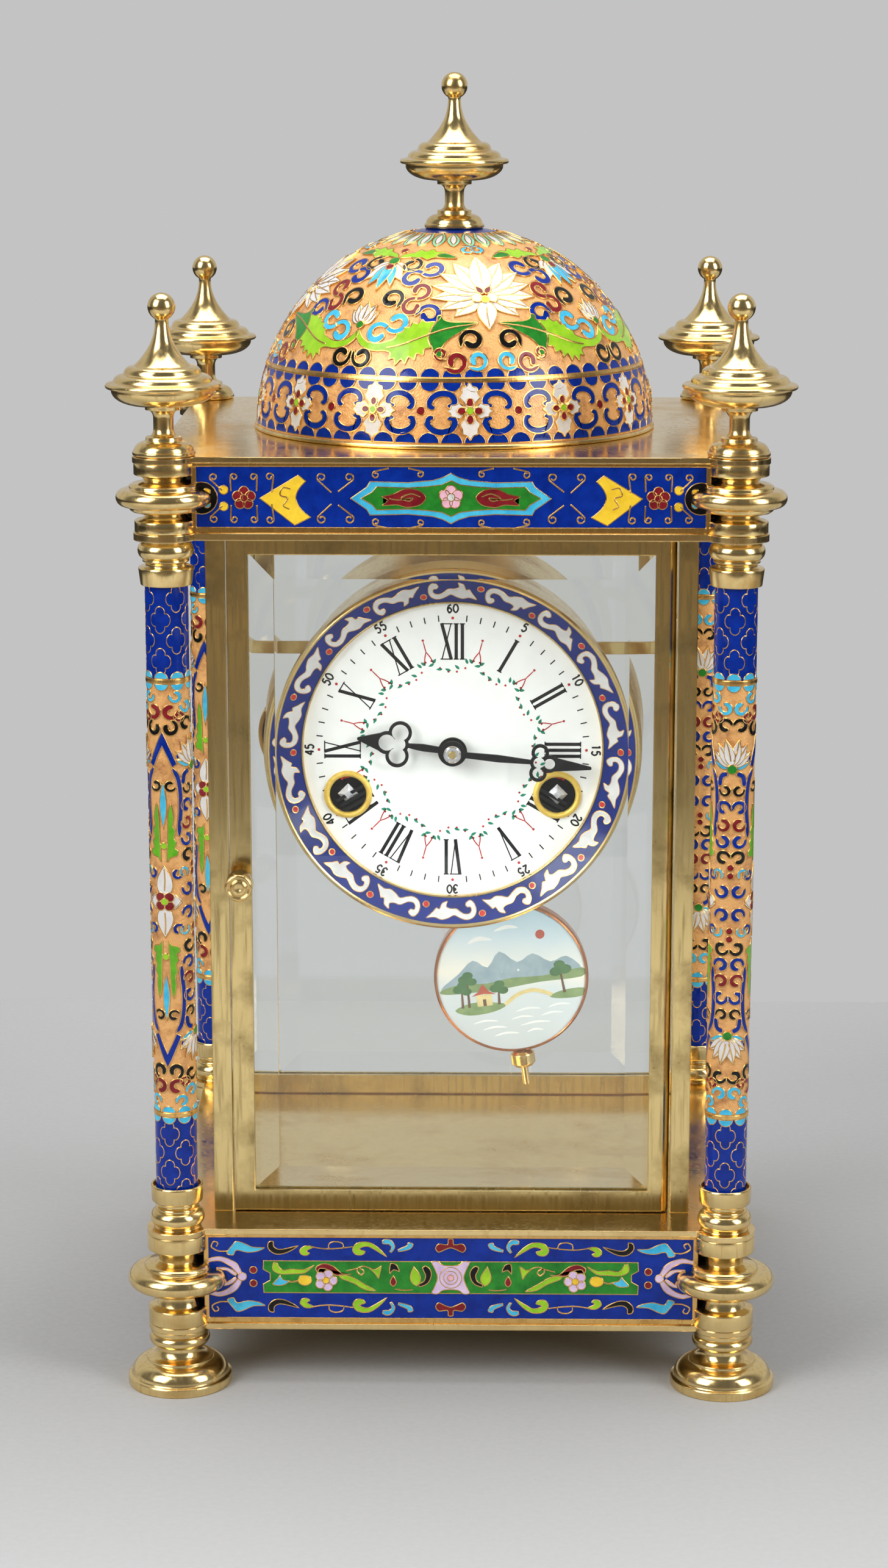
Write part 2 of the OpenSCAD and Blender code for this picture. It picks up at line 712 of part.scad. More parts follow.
module panel_band(z, h) {
    run_x = col_x - panel_stop;
    run_y = col_y - panel_stop;
    face_x = plate_x - panel_inset;
    face_y = plate_y - panel_inset;
    for (side = [0, 1]) {
        mirror([0, side, 0]) box([-run_x, face_y - panel_t, z], [run_x, face_y, z + h]);
        mirror([side, 0, 0]) box([face_x - panel_t, -run_y, z], [face_x, run_y, z + h]);
    }
}
module base_panels() {
    color("mediumblue") panel_band(z_panel, base_panel_h);
}
module frieze_panels() {
    color("mediumblue") panel_band(z_frieze, frieze_h);
}
module column_cup() {
    rim = cup_h - cup_rim_h;
    drilled(cup_h, rod_hole_r) difference() {
        turned(concat([[0, 0], [cup_bead_r - 1, 0]], bead(cup_bead_r, 0.6, cup_bead_h, 2.4),
            [[cup_neck_r + 1.2, cup_bead_h + 0.6], [cup_neck_r + 1.2, cup_bead_h + 1.4],
            [cup_neck_r, cup_bead_h + 1.8], [cup_neck_r, rim - 0.3], [cup_r - 0.6, rim],
            [cup_r - 0.2, rim + 0.6], [cup_r, cup_h - 0.4], [cup_r - 0.3, cup_h], [0, cup_h]]));
        translate([0, 0, cup_h - socket_depth]) cylinder(r = cup_socket_r, h = socket_depth + 1);
    }
}
module column_cups() {
    color("goldenrod") at_columns() translate([0, 0, z_floor]) column_cup();
}
module column_tubes() {
    z0 = z_floor + cup_h - socket_depth;
    h = z_lintel - capital_h + socket_depth - z0;
    color("royalblue") at_columns() translate([0, 0, z0])
        drilled(h, tube_r - tube_wall) cylinder(r = tube_r, h = h);
}
module column_capital() {
    top = capital_h - 0.6;
    drilled(capital_h, rod_hole_r) difference() {
        turned(concat([[0, 0], [capital_foot_r, 0],
            [capital_r, cup_rim_h - 0.5], [capital_r - 0.4, cup_rim_h],
            [cup_neck_r + 0.4, cup_rim_h], [cup_neck_r + 0.4, top - cup_bead_h - 1.2],
            [cup_neck_r + 1.4, top - cup_bead_h - 0.8], [cup_neck_r + 1.4, top - cup_bead_h]],
            bead(cup_bead_r, top - cup_bead_h, cup_bead_h, 2.4),
            [[cup_bead_r - 1, top], [cup_bead_r - 1, capital_h], [0, capital_h]]));
        translate([0, 0, -1]) cylinder(r = tube_r + tube_play, h = socket_depth + 1);
    }
}
module column_capitals() {
    color("goldenrod") at_columns() translate([0, 0, z_lintel - capital_h]) column_capital();
}
function reversed(list) = [for (i = [len(list) - 1:-1:0]) list[i]];
function spire(t) = [finial_tip_r + (finial_spire_r - finial_tip_r) * pow(1 - t, 2.2),
    f_spire + finial_spire_h * t];
module finial() {
    ball_a = asin(finial_tip_r / finial_ball_r);
    curve = 0.3 * finial_stem_h;
    difference() {
        turned(concat(
            [[0, 0], [finial_cushion_r - 0.5, 0], [finial_cushion_r, 0.5], [finial_cushion_r, 1.6]],
            bulge([finial_cushion_r - 0.5, 1.6], [finial_flange_r, f_flange1]),
            [[finial_flange_r, f_stem]],
            scoop([finial_flange_r - 0.6, f_stem], [finial_stem_r, f_stem + curve]),
            reversed(scoop([finial_flange_r - 0.6, f_flange2], [finial_stem_r, f_flange2 - curve])),
            [[finial_flange_r, f_flange2], [finial_flange_r, f_bowl]],
            reversed(bulge([finial_bowl_r, f_rim - 0.6], [finial_flange_r + 1.4, f_bowl])),
            [[finial_bowl_r, f_rim]],
            bead(finial_rim_r, f_rim, finial_rim_t, finial_rim_t / 2),
            bulge([finial_bead1_r, f_bead1 + 0.5], [finial_bead2_r + 0.6, f_bead2]),
            bulge([finial_bead2_r, f_bead2 + 0.5], [finial_spire_r + 0.6, f_spire]),
            [for (i = [0:9]) spire(i / 9)],
            [for (i = [1:9]) let (a = ball_a + (180 - ball_a) * i / 9)
                [finial_ball_r * sin(a), f_ball - finial_ball_r * cos(a)]]));
        translate([0, 0, -1]) cylinder(r = rod_hole_r, h = rod_grip + 2);
    }
}
module finials() {
    color("goldenrod") {
        at_columns() translate([0, 0, z_roof]) finial();
        translate([0, 0, z_dome_top]) finial();
    }
}
module tie_rod(z_head, z_end) {
    translate([0, 0, z_head]) cylinder(r = rod_head_w / 2 / cos(30), h = rod_head_h, $fn = 6);
    translate([0, 0, z_head]) cylinder(r = rod_r, h = z_end - z_head);
}
module tie_rods() {
    color("silver") {
        at_columns() tie_rod(foot_recess - rod_head_h, z_roof + rod_grip);
        tie_rod(z_top - rod_head_h, z_dome_top + rod_grip);
    }
}
function dome_point(t, depth) = [(dome_r - depth) * cos(t), (dome_h / sin(dome_end) - depth) * sin(t)];
module dome() {
    arcs = 24;
    color("mediumblue") translate([0, 0, z_roof]) drilled(dome_h, rod_hole_r)
        turned(concat([[dome_r - dome_wall, 0]],
            bead(dome_r + dome_rim_w, 0, 2 * dome_rim_w, 0.8 * dome_rim_w),
            [for (i = [1:arcs]) dome_point(dome_end * i / arcs, 0)],
            [[0, dome_h], [0, dome_point(dome_end, dome_wall)[1]]],
            [for (i = [arcs:-1:1]) dome_point(dome_end * i / arcs, dome_wall)]));
}

// Glass case and doors
module case_posts() {
    color("gold") for (side_x = [0, 1], side_y = [0, 1])
        mirror([side_x, 0, 0]) mirror([0, side_y, 0]) difference() {
            box([post_x - post_w, post_y - post_w, z_floor], [post_x, post_y, z_lintel]);
            box([side_glass_x - groove_t / 2, post_y - post_w - 1, z_floor - 1],
                [side_glass_x + groove_t / 2, post_y - post_w + glass_lap, z_lintel + 1]);
        }
}
module side_rail(z, groove_z) {
    half = post_y - post_w;
    difference() {
        box([post_x - post_w, -half, z], [post_x, half, z + rail_h]);
        box([side_glass_x - groove_t / 2, -half - 1, groove_z],
            [side_glass_x + groove_t / 2, half + 1, groove_z + glass_lap + 1]);
    }
}
module side_rails() {
    color("gold") both_sides() {
        side_rail(z_floor, z_floor + rail_h - glass_lap);
        side_rail(z_lintel - rail_h, z_lintel - rail_h - 1);
    }
}
// A pane with its flat face on the plane of Y = 0 and its bevelled face towards -Y
module pane_section(half) {
    edge = half - bevel_w - glass_lap + glass_play;
    polygon([[-half, 0], [half, 0], [half, -glass_edge_t], [edge, -glass_t], [-edge, -glass_t],
        [-half, -glass_edge_t]]);
}
module pane(w, h) {
    intersection() {
        translate([0, 0, -h / 2]) linear_extrude(h) pane_section(w / 2);
        translate([-w / 2, 0, 0]) rotate([0, 90, 0]) linear_extrude(w) pane_section(h / 2);
    }
}
pane_h = case_h - 2 * rail_h + 2 * glass_lap - 2 * glass_play;
pane_z = (z_floor + z_lintel) / 2;
module side_glasses() {
    color("lightblue", 0.3) both_sides() translate([side_glass_x - glass_t / 2, 0, pane_z]) rotate([0, 0, 90])
        pane(2 * (post_y - post_w + glass_lap - glass_play), pane_h);
}
module door_frame() {
    open_x = door_x - stile_w;
    difference() {
        translate([0, 0, door_z0]) linear_extrude(door_z1 - door_z0) {
            translate([-door_x, -post_y]) square([door_x + hinge_x, door_t]);
            translate([hinge_x, -hinge_y]) circle(r = door_t / 2);
        }
        box([-open_x, -post_y - 1, z_floor + rail_h], [open_x, -post_y + door_t + 1, z_lintel - rail_h]);
        box([-open_x - glass_lap, -hinge_y - groove_t / 2, z_floor + rail_h - glass_lap],
            [open_x + glass_lap, -hinge_y + groove_t / 2, z_lintel - rail_h + glass_lap]);
        translate([hinge_x, -hinge_y, door_z0 - 1]) cylinder(r = pin_r, h = pin_grip + 1);
        translate([hinge_x, -hinge_y, door_z1 - pin_grip]) cylinder(r = pin_r, h = pin_grip + 1);
        rod_y([-knob_x, knob_at], spindle_r + spindle_play, -post_y - 1, -post_y + door_t + 1);
    }
}
module door_glass() {
    half = door_x - stile_w + glass_lap - glass_play;
    translate([0, glass_t / 2 - hinge_y, pane_z]) pane(2 * half, pane_h);
}
module door_pins() {
    translate([hinge_x, -hinge_y, 0]) {
        translate([0, 0, z_floor - pin_reach]) cylinder(r = pin_r, h = pin_reach + door_gap + pin_grip);
        translate([0, 0, door_z1 - pin_grip]) cylinder(r = pin_r, h = pin_reach + door_gap + pin_grip);
    }
}
module knob() {
    collar_y = -post_y - face_gap;
    ball_y = -post_y - knob_stand;
    tongue_y = -post_y + door_t + face_gap;
    cut = asin(knob_neck_r / knob_r);
    tip = tongue_len - tongue_w / 2;
    translate([-knob_x, 0, knob_at]) {
        turned_y(concat([[0, tongue_y + tongue_t], [spindle_r, tongue_y + tongue_t], [spindle_r, collar_y],
            [knob_collar_r, collar_y], [knob_collar_r, collar_y - knob_collar_t],
            [knob_neck_r, collar_y - knob_collar_t]],
            [for (i = [0:9]) let (a = cut + (180 - cut) * i / 9)
                [knob_r * sin(a), ball_y + knob_r * cos(a)]]));
        slab_y(tongue_y, tongue_y + tongue_t) {
            circle(r = tongue_w / 2 + 0.6);
            translate([-tongue_w / 2, -tip]) square([tongue_w, tip]);
            translate([0, -tip]) circle(r = tongue_w / 2);
        }
    }
}
module front_door_frame() {
    color("gold") door_frame();
}
module front_door_glass() {
    color("lightblue", 0.3) door_glass();
}
module front_door_pins() {
    color("silver") door_pins();
}
module front_knob() {
    color("goldenrod") knob();
}
module rear_door_frame() {
    color("gold") mirror([0, 1, 0]) door_frame();
}
module rear_door_glass() {
    color("lightblue", 0.3) mirror([0, 1, 0]) door_glass();
}
module rear_door_pins() {
    color("silver") mirror([0, 1, 0]) door_pins();
}
module rear_knob() {
    color("goldenrod") mirror([0, 1, 0]) knob();
}

// Dial and drum
drum_out = drum_r + drum_wall;
dial_r = drum_r - dial_edge_w;
mv_plate_r = drum_r - plate_gap;
pillar_ring = mv_plate_r - pillar_inset;
ring_in = dial_r + bezel_lip_w;
ring_out = ring_in + ring_w;
rim_r = ring_out + bezel_rim_w;
y_ring_in = y_dial - bezel_base_t;
y_ring_out = y_ring_in - ring_rise;
y_rim = y_ring_out - ring_t - bezel_rim_rise;
shelf_w = 1.4;
shelf_r = mv_plate_r - shelf_w;
shelf_t = barrel_gap - 0.4;
lug_x = sqrt(drum_out * drum_out - strap_z * strap_z) + lug_reach;
module drum() {
    color("darkgoldenrod") from_dial() {
        turned_y([[drum_r, y_dial], [drum_out, y_dial], [drum_out, y_back_out], [drum_r, y_back_out],
            [drum_r, y_front_in + shelf_t], [shelf_r, y_front_in + shelf_t], [shelf_r, y_front_in],
            [drum_r, y_front_in]]);
        both_sides() slab_y(y_back, y_back_out) difference() {
            union() {
                translate([lug_x, strap_z]) circle(r = lug_reach);
                translate([lug_x - lug_reach, strap_z]) square(2 * lug_reach, center = true);
            }
            circle(r = drum_r + drum_wall / 2);
        }
    }
}
module bezel() {
    color("goldenrod") from_dial()
        turned_y([[dial_r, y_dial], [dial_r, y_ring_in - ring_t],
            [dial_r + bezel_lip_w / 2, y_ring_in - ring_t - 0.4],
            [ring_in, y_ring_in - ring_t], [ring_in, y_ring_in], [ring_out, y_ring_out],
            [ring_out, y_rim + 0.4], [ring_out + 0.5, y_rim], [rim_r - 0.8, y_rim], [rim_r, y_rim + 0.8],
            [rim_r, y_dial + bezel_skirt], [drum_out + skirt_play, y_dial + bezel_skirt],
            [drum_out + skirt_play, y_dial]]);
}
module bezel_enamel() {
    color("midnightblue") from_dial()
        turned_y([[ring_in, y_ring_in], [ring_in, y_ring_in - ring_t], [ring_out, y_ring_out - ring_t],
            [ring_out, y_ring_out]]);
}
module dial() {
    color("white") from_dial() {
        slab_y(y_dial, y_dial + dial_t) difference() {
            circle(r = drum_r - skirt_play);
            circle(r = dial_hole_r);
            both_sides() translate(barrel_at) circle(r = eyelet_r + eyelet_wall);
        }
        for (a = [45, 135, 270])
            rod_y(polar(mv_plate_r - 8, a), pivot_r + 0.4, y_dial + dial_t / 2, y_front);
    }
}
module winding_eyelets() {
    color("gold") from_dial() both_sides() translate([barrel_at[0], 0, barrel_at[1]])
        turned_y([[eyelet_r, y_dial - eyelet_t], [eyelet_r + eyelet_flange_w - 0.3, y_dial - eyelet_t],
            [eyelet_r + eyelet_flange_w, y_dial - eyelet_t + 0.3], [eyelet_r + eyelet_flange_w, y_dial],
            [eyelet_r + eyelet_wall, y_dial], [eyelet_r + eyelet_wall, y_dial + dial_t + 0.4],
            [eyelet_r, y_dial + dial_t + 0.4]]);
}
module movement_straps() {
    x0 = lug_x - 1.6 * lug_reach;
    x1 = lug_x + lug_reach + 1;
    x2 = post_x - post_w + 0.1;
    y1 = post_y - post_w;
    color("goldenrod") from_dial() both_sides()
        translate([0, 0, strap_z - strap_w / 2]) linear_extrude(strap_w)
        polygon([[x0, y_back_out], [x1, y_back_out], [x2 + strap_t, y1 - strap_t], [x2 + strap_t, y1],
            [x2, y1], [x2, y1 - 1.2], [x1 - 0.7 * strap_t, y_back_out + strap_t],
            [x0, y_back_out + strap_t]]);
}

// Teeth: four points each, wide at the root and narrow at the tip
function teeth_ring(count, m, phase, add, ded, tip_w, root_w) = let (r = pitch_r(m, count), unit = plan * m)
    [for (i = [0:count - 1], k = [0:3]) let (
        root = k == 0 || k == 3,
        reach = root ? r - ded * unit : r + add * unit,
        half_a = (root ? root_w : tip_w) * unit / 2 / reach * 180 / PI,
        a = phase + 360 * i / count + (k < 2 ? -half_a : half_a))
        polar(reach, a)];
function wheel_teeth(count, m, phase) = teeth_ring(count, m, phase, 0.85, 1.25, 0.6, 1.8);
function leaf_teeth(count, m, phase) = teeth_ring(count, m, phase, 0.75, 1.25, 0.55, 1.3);
module crossings(rim, hub, arms) {
    difference() {
        circle(r = rim);
        circle(r = hub);
        for (i = [0:arms - 1])
            rotate(360 * i / arms) translate([0, -wheel_arm_w / 2]) square([rim + 1, wheel_arm_w]);
    }
}
function rim_in(count, m) = pitch_r(m, count) - 1.25 * plan * m - wheel_rim_w;
module train_wheel(count, m, phase, y0, rim, arms) {
    slab_y(y0, y0 + wheel_t) difference() {
        polygon(wheel_teeth(count, m, phase));
        crossings(rim, hub_r, arms);
    }
}
module train_pinion(count, m, phase, y0, t) {
    slab_y(y0 - pinion_over, y0 + t + pinion_over) polygon(leaf_teeth(count, m, phase));
}
module at_arbor(at) {
    from_dial() translate([at[0], 0, at[1]]) children();
}
// An arbor between the plates with a pivot in each
module fine_arbor() {
    rod_y([0, 0], arbor_r, y_front_in + end_shake, y_back - end_shake);
    rod_y([0, 0], pivot_r, y_front + 0.4, y_back_out - 0.4);
}

// Movement frame
click_at = barrel_at + polar(plan * click_ring, 100);
ratchet_tip = plan * ratchet_r;
click_pin_r = 1;
pivot_hole_r = pivot_r + pivot_play;
winding_hole_r = winding_pivot_r + pivot_play;
rear_pivot_r = barrel_arbor_r - 0.5;
centre_front_r = 1.4;
centre_arbor_r = 1.6;
minute_stud_r = 1.2;
stud_head_r = 3;
y_bridge = y_back_out + 6;
bridge_t = 2;
cock_x = 9;
crutch_hole_r = 3;
bell_y = y_back_out + 3;
bell_stud_r = 2.4;
bell_boss = 0.5;
module plate_holes() {
    for (at = fine_arbors)
        translate(at) circle(r = pivot_hole_r);
}
module front_plate() {
    color("darkkhaki") from_dial() {
        slab_y(y_front, y_front_in) difference() {
            circle(r = mv_plate_r);
            plate_holes();
            circle(r = centre_front_r + pivot_play);
            translate(pallet_at) circle(r = pivot_hole_r);
            both_sides() translate(barrel_at) circle(r = winding_hole_r);
        }
        rod_y(minute_at, minute_stud_r, y_dial + dial_t + 2, y_front_in - 0.5);
        both_sides() rod_y(click_at, click_pin_r, y_ratchet - ratchet_t + 0.2, y_front_in - 0.5);
    }
}
module back_plate() {
    color("darkkhaki") from_dial() {
        slab_y(y_back, y_back_out) difference() {
            circle(r = mv_plate_r);
            plate_holes();
            circle(r = pivot_hole_r);
            translate(pallet_at) circle(r = crutch_hole_r);
            both_sides() translate(barrel_at) circle(r = rear_pivot_r + pivot_play);
        }
        rod_y(bell_at, bell_stud_r, y_back_out - 0.5, bell_y + bell_depth - bell_wall - bell_boss);
    }
}
module pillars() {
    color("gold") from_dial() for (a = pillar_dirs)
        rod_y(polar(pillar_ring, a), pillar_r, y_front_in, y_back);
}
module suspension_cock() {
    color("gold") at_arbor(pallet_at) difference() {
        union() {
            for (x = [-cock_x, cock_x])
                rod_y([x, 0], stud_head_r, y_back_out, y_bridge + bridge_t);
            slab_y(y_bridge, y_bridge + bridge_t) square([2 * cock_x, 2 * stud_head_r], center = true);
            rod_y([0, 0], stud_r, y_bridge + bridge_t - 0.5, y_pend + eye_t / 2 + face_gap + 1.2);
            rod_y([0, 0], stud_r + 0.9, y_pend + eye_t / 2 + face_gap, y_pend + eye_t / 2 + face_gap + 1.2);
        }
        rod_y([0, 0], pivot_hole_r, y_bridge - 1, y_bridge + 1.3);
    }
}

// Winding side: barrel, arbor with ratchet and square, click
module spring_barrel(phase) {
    slab_y(y_barrel, y_great) difference() {
        circle(r = plan * barrel_r);
        circle(r = barrel_arbor_r + pivot_play);
    }
    slab_y(y_great, y_great_end) difference() {
        polygon(wheel_teeth(barrel_teeth, barrel_m, phase));
        circle(r = barrel_arbor_r + pivot_play);
    }
}
module winding_arbor() {
    rod_y([0, 0], barrel_arbor_r, y_front_in + end_shake, y_back - end_shake);
    rod_y([0, 0], rear_pivot_r, y_back - 1, y_back_out - 0.2);
    rod_y([0, 0], winding_pivot_r, y_ratchet - 0.5, y_front_in + end_shake);
    slab_y(y_ratchet - ratchet_t, y_ratchet)
        polygon([for (i = [0:ratchet_teeth - 1], k = [0, 1])
            polar(k == 0 ? ratchet_tip : ratchet_tip - 1.2, 360 * (i + 0.15 * k) / ratchet_teeth)]);
    slab_y(y_dial + winding_gap, y_ratchet) square(winding_w, center = true);
}
module click() {
    nose = barrel_at + polar(ratchet_tip + face_gap, 62);
    slab_y(y_ratchet - ratchet_t, y_ratchet) difference() {
        union() {
            translate(click_at) circle(r = 2 * click_pin_r);
            polygon([click_at + polar(2 * click_pin_r, 240), nose, click_at + polar(2 * click_pin_r, 40)]);
        }
        translate(click_at) circle(r = click_pin_r + pivot_play);
    }
}
module time_barrel() {
    color("khaki") at_arbor(barrel_at) spring_barrel(barrel_phase);
}
module time_arbor() {
    color("silver") at_arbor(barrel_at) winding_arbor();
}
module time_click() {
    color("silver") from_dial() click();
}
module strike_barrel() {
    color("khaki") at_arbor(strike_at) spring_barrel(0);
}
module strike_arbor() {
    color("silver") at_arbor(strike_at) mirror([1, 0, 0]) winding_arbor();
}
module strike_click() {
    color("silver") from_dial() mirror([1, 0, 0]) click();
}

// Going train
hub_r = 4;
module intermediate_wheel() {
    color("khaki") at_arbor(inter_at) {
        fine_arbor();
        train_wheel(inter_teeth, inter_m, inter_phase, y_second, rim_in(inter_teeth, inter_m), 5);
        train_pinion(great_leaves, barrel_m, inter_phase, y_great, barrel_tooth_len);
    }
}
module centre_wheel() {
    color("khaki") at_arbor(centre_at) {
        rod_y([0, 0], centre_arbor_r, y_front_in + end_shake, y_back - end_shake);
        rod_y([0, 0], pivot_r, y_back - 1, y_back_out - 0.4);
        rod_y([0, 0], centre_front_r, y_nut - nut_t, y_front_in + 1);
        train_wheel(centre_teeth, fine_m, 0, y_centre, rim_in(centre_teeth, fine_m), 5);
        train_pinion(centre_leaves, inter_m, 0, y_second, wheel_t);
    }
}
module third_wheel() {
    color("khaki") at_arbor(third_at) {
        fine_arbor();
        train_wheel(third_teeth, fine_m, third_phase, y_third, rim_in(third_teeth, fine_m), 5);
        train_pinion(fine_leaves, fine_m, third_phase, y_centre, wheel_t);
    }
}
escape_tip = plan * escape_r;
module escape_wheel() {
    color("khaki") at_arbor(escape_at) {
        fine_arbor();
        slab_y(y_escape, y_escape + escape_t) difference() {
            polygon([for (i = [0:escape_teeth - 1], k = [0, 1])
                polar(k == 0 ? escape_tip : escape_tip - 1, 360 * (i + 0.5 * k) / escape_teeth)]);
            crossings(escape_tip - 1 - wheel_rim_w / 2, hub_r - 1, 4);
        }
        train_pinion(fine_leaves, fine_m, escape_phase, y_third, wheel_t);
    }
}
nib_at = plan * (polar(nib_ring, 40) - [0, pallet_rise]);
arm_end = plan * (polar(1.1 * nib_ring, 40) - [0, pallet_rise]);
y_crutch = y_back_out + 2.5;
crutch_t = 1.5;
prong_r = 0.8;
prong_x = pend_rod_r + prong_r + 0.5;
module pallets() {
    a = atan2(arm_end[1], arm_end[0]);
    color("silver") at_arbor(pallet_at) rotate([0, -swing, 0]) {
        rod_y([0, 0], arbor_r, y_front_in + end_shake, y_bridge - end_shake);
        rod_y([0, 0], pivot_r, y_front + 0.4, y_bridge + 1);
        slab_y(y_escape - 0.4, y_escape + escape_t + 0.4) {
            circle(r = 2.6);
            both_sides() {
                rotate(a) translate([0, -1.2]) square([norm(arm_end), 2.4]);
                translate(arm_end) circle(r = 1.2);
                polygon([nib_at, arm_end + polar(1.1, a + 90), arm_end + polar(1.1, a)]);
            }
        }
        slab_y(y_crutch, y_crutch + crutch_t) {
            circle(r = 2.4);
            translate([-1.2, -crutch_len]) square([2.4, crutch_len]);
            translate([-prong_x - prong_r, -crutch_len - 1.2]) square([2 * (prong_x + prong_r), 2.4]);
        }
        for (x = [-prong_x, prong_x])
            rod_y([x, -crutch_len], prong_r, y_crutch + crutch_t / 2, y_pend + 2);
    }
}

// Motion work and hands
pipe_gap = 0.07;
cannon_bore_r = centre_front_r + 0.02;
cannon_r = 2.2;
hour_bore_r = cannon_r + pipe_gap;
hour_pipe_r = 3.2;
hand_fit = 0.02;
y_hour_hand = y_dial - 2.6 - hand_t;
y_minute_hand = y_hour_hand - 2.3 - hand_t;
y_cannon = y_front - 0.6;
cannon_t = 2.4;
y_hour_wheel = y_cannon - cannon_t - 2.5;
nut_t = 1.6;
y_nut = y_minute_hand - 0.4;
module cannon_pinion() {
    color("khaki") from_dial() {
        slab_y(y_nut, y_cannon) difference() {
            circle(r = cannon_r);
            circle(r = cannon_bore_r);
        }
        slab_y(y_cannon - cannon_t, y_cannon - 0.6) difference() {
            polygon(leaf_teeth(cannon_leaves, motion_m, 0));
            circle(r = cannon_bore_r);
        }
    }
}
module minute_wheel() {
    color("khaki") at_arbor(minute_at) {
        slab_y(y_cannon - cannon_t + 0.1, y_cannon - 0.9) difference() {
            polygon(wheel_teeth(minute_teeth, motion_m, minute_phase));
            circle(r = minute_stud_r + pivot_play);
        }
        slab_y(y_hour_wheel - 0.7, y_cannon - cannon_t + 0.1) difference() {
            polygon(leaf_teeth(minute_leaves, hour_m, minute_phase));
            circle(r = minute_stud_r + pivot_play);
        }
    }
}
module hour_wheel() {
    color("khaki") from_dial() {
        slab_y(y_hour_wheel, y_hour_wheel + 1.2) difference() {
            polygon(wheel_teeth(hour_teeth, hour_m, hour_phase));
            circle(r = hour_bore_r);
        }
        slab_y(y_hour_hand - 0.2, y_hour_wheel + 0.6) difference() {
            circle(r = hour_pipe_r);
            circle(r = hour_bore_r);
        }
    }
}
// A hand points up before it is turned: a slender arm, a trefoil of one merged opening and a point
module trefoil_lobes(at, spread, core, r) {
    for (a = [0, 90, 180])
        translate([0, at] + polar(spread, a)) circle(r = r);
    translate([0, at]) circle(r = core);
}
module hand(length, at, hub, bore, lobe, spread) {
    core = 0.85 * spread;
    root = at - 0.9 * core;
    middle = (hub + root) / 2;
    crown = at + spread + 0.55 * lobe;
    difference() {
        union() {
            circle(r = hub);
            polygon([[-0.8 * hand_stroke, 0], [0.8 * hand_stroke, 0], [1.1 * hand_stroke, middle],
                [0.65 * hand_stroke, root], [-0.65 * hand_stroke, root], [-1.1 * hand_stroke, middle]]);
            trefoil_lobes(at, spread, core, lobe);
            hull() {
                translate([0, crown]) square([1.6 * lobe, 0.1], center = true);
                translate([0, length - hand_stroke / 2]) circle(r = hand_stroke / 2);
            }
        }
        circle(r = bore);
        trefoil_lobes(at, spread, core - hand_stroke, lobe - hand_stroke);
    }
}
module hour_hand() {
    color("black") from_dial() slab_y(y_hour_hand, y_hour_hand + hand_t)
        rotate(-30 * time_hour - time_minute / 2)
        hand(plan * hour_len, plan * hour_trefoil * hour_len, hour_collet_r, hour_pipe_r + hand_fit,
            hour_lobe_r, 1.02 * hour_lobe_r);
}
module minute_hand() {
    color("black") from_dial() slab_y(y_minute_hand, y_minute_hand + hand_t)
        rotate(-6 * time_minute)
        hand(plan * minute_len, plan * minute_trefoil * minute_len, minute_collet_r, cannon_r + hand_fit,
            minute_lobe_r, 1.2 * minute_lobe_r);
}
module hand_nut() {
    color("silver") from_dial() turned_y([[centre_front_r, y_nut], [3, y_nut], [3, y_nut - nut_t + 0.5],
        [2.4, y_nut - nut_t], [centre_front_r, y_nut - nut_t]]);
}

// Pendulum, drawn hanging and turned to one side
eye_t = 2.8;
eye_r = stud_r + stud_play;
bob_gap = 0.05;
nut_gap = face_gap;
nut_z = -pendulum_len - bob_r - nut_gap;
rod_end = nut_z - nut_h - rod_tail;
module hanging() {
    translate([0, y_pend, z_dial + pallet_at[1]]) rotate([0, -swing, 0]) children();
}
module pendulum_rod() {
    color("goldenrod") hanging() difference() {
        union() {
            rod_y([0, 0], eye_r + 1.8, -eye_t / 2, eye_t / 2);
            translate([0, 0, rod_end]) cylinder(r = pend_rod_r, h = -rod_end - eye_r - 0.6);
        }
        rod_y([0, 0], eye_r, -eye_t, eye_t);
    }
}
module pendulum_bob() {
    edge = bob_r - bob_rim_w;
    half = bob_rim_t / 2;
    color("ivory") hanging() difference() {
        translate([0, 0, -pendulum_len])
            turned_y(concat([for (i = [0:8]) [edge * i / 8, -half - bob_crown * cos(90 * i / 8)]],
                [[edge, -half - 0.4], [edge + 0.5, -half - 0.6], [bob_r, -half + 0.4], [bob_r, half - 0.4],
                [edge + 0.5, half + 0.6], [edge, half + 0.4]],
                [for (i = [8:-1:0]) [edge * i / 8, half + bob_crown * cos(90 * i / 8)]]));
        translate([0, 0, -pendulum_len - bob_r - 1]) cylinder(r = pend_rod_r + bob_gap, h = 2 * bob_r + 2);
    }
}
module rating_nut() {
    color("goldenrod") hanging() translate([0, 0, nut_z - nut_h]) drilled(nut_h, pend_rod_r + pivot_play)
        turned([[0, 0], [nut_r - 1.2, 0], [nut_r, 1.2], [nut_r, nut_h - 1.2],
            [nut_r - 1.2, nut_h], [0, nut_h]]);
}

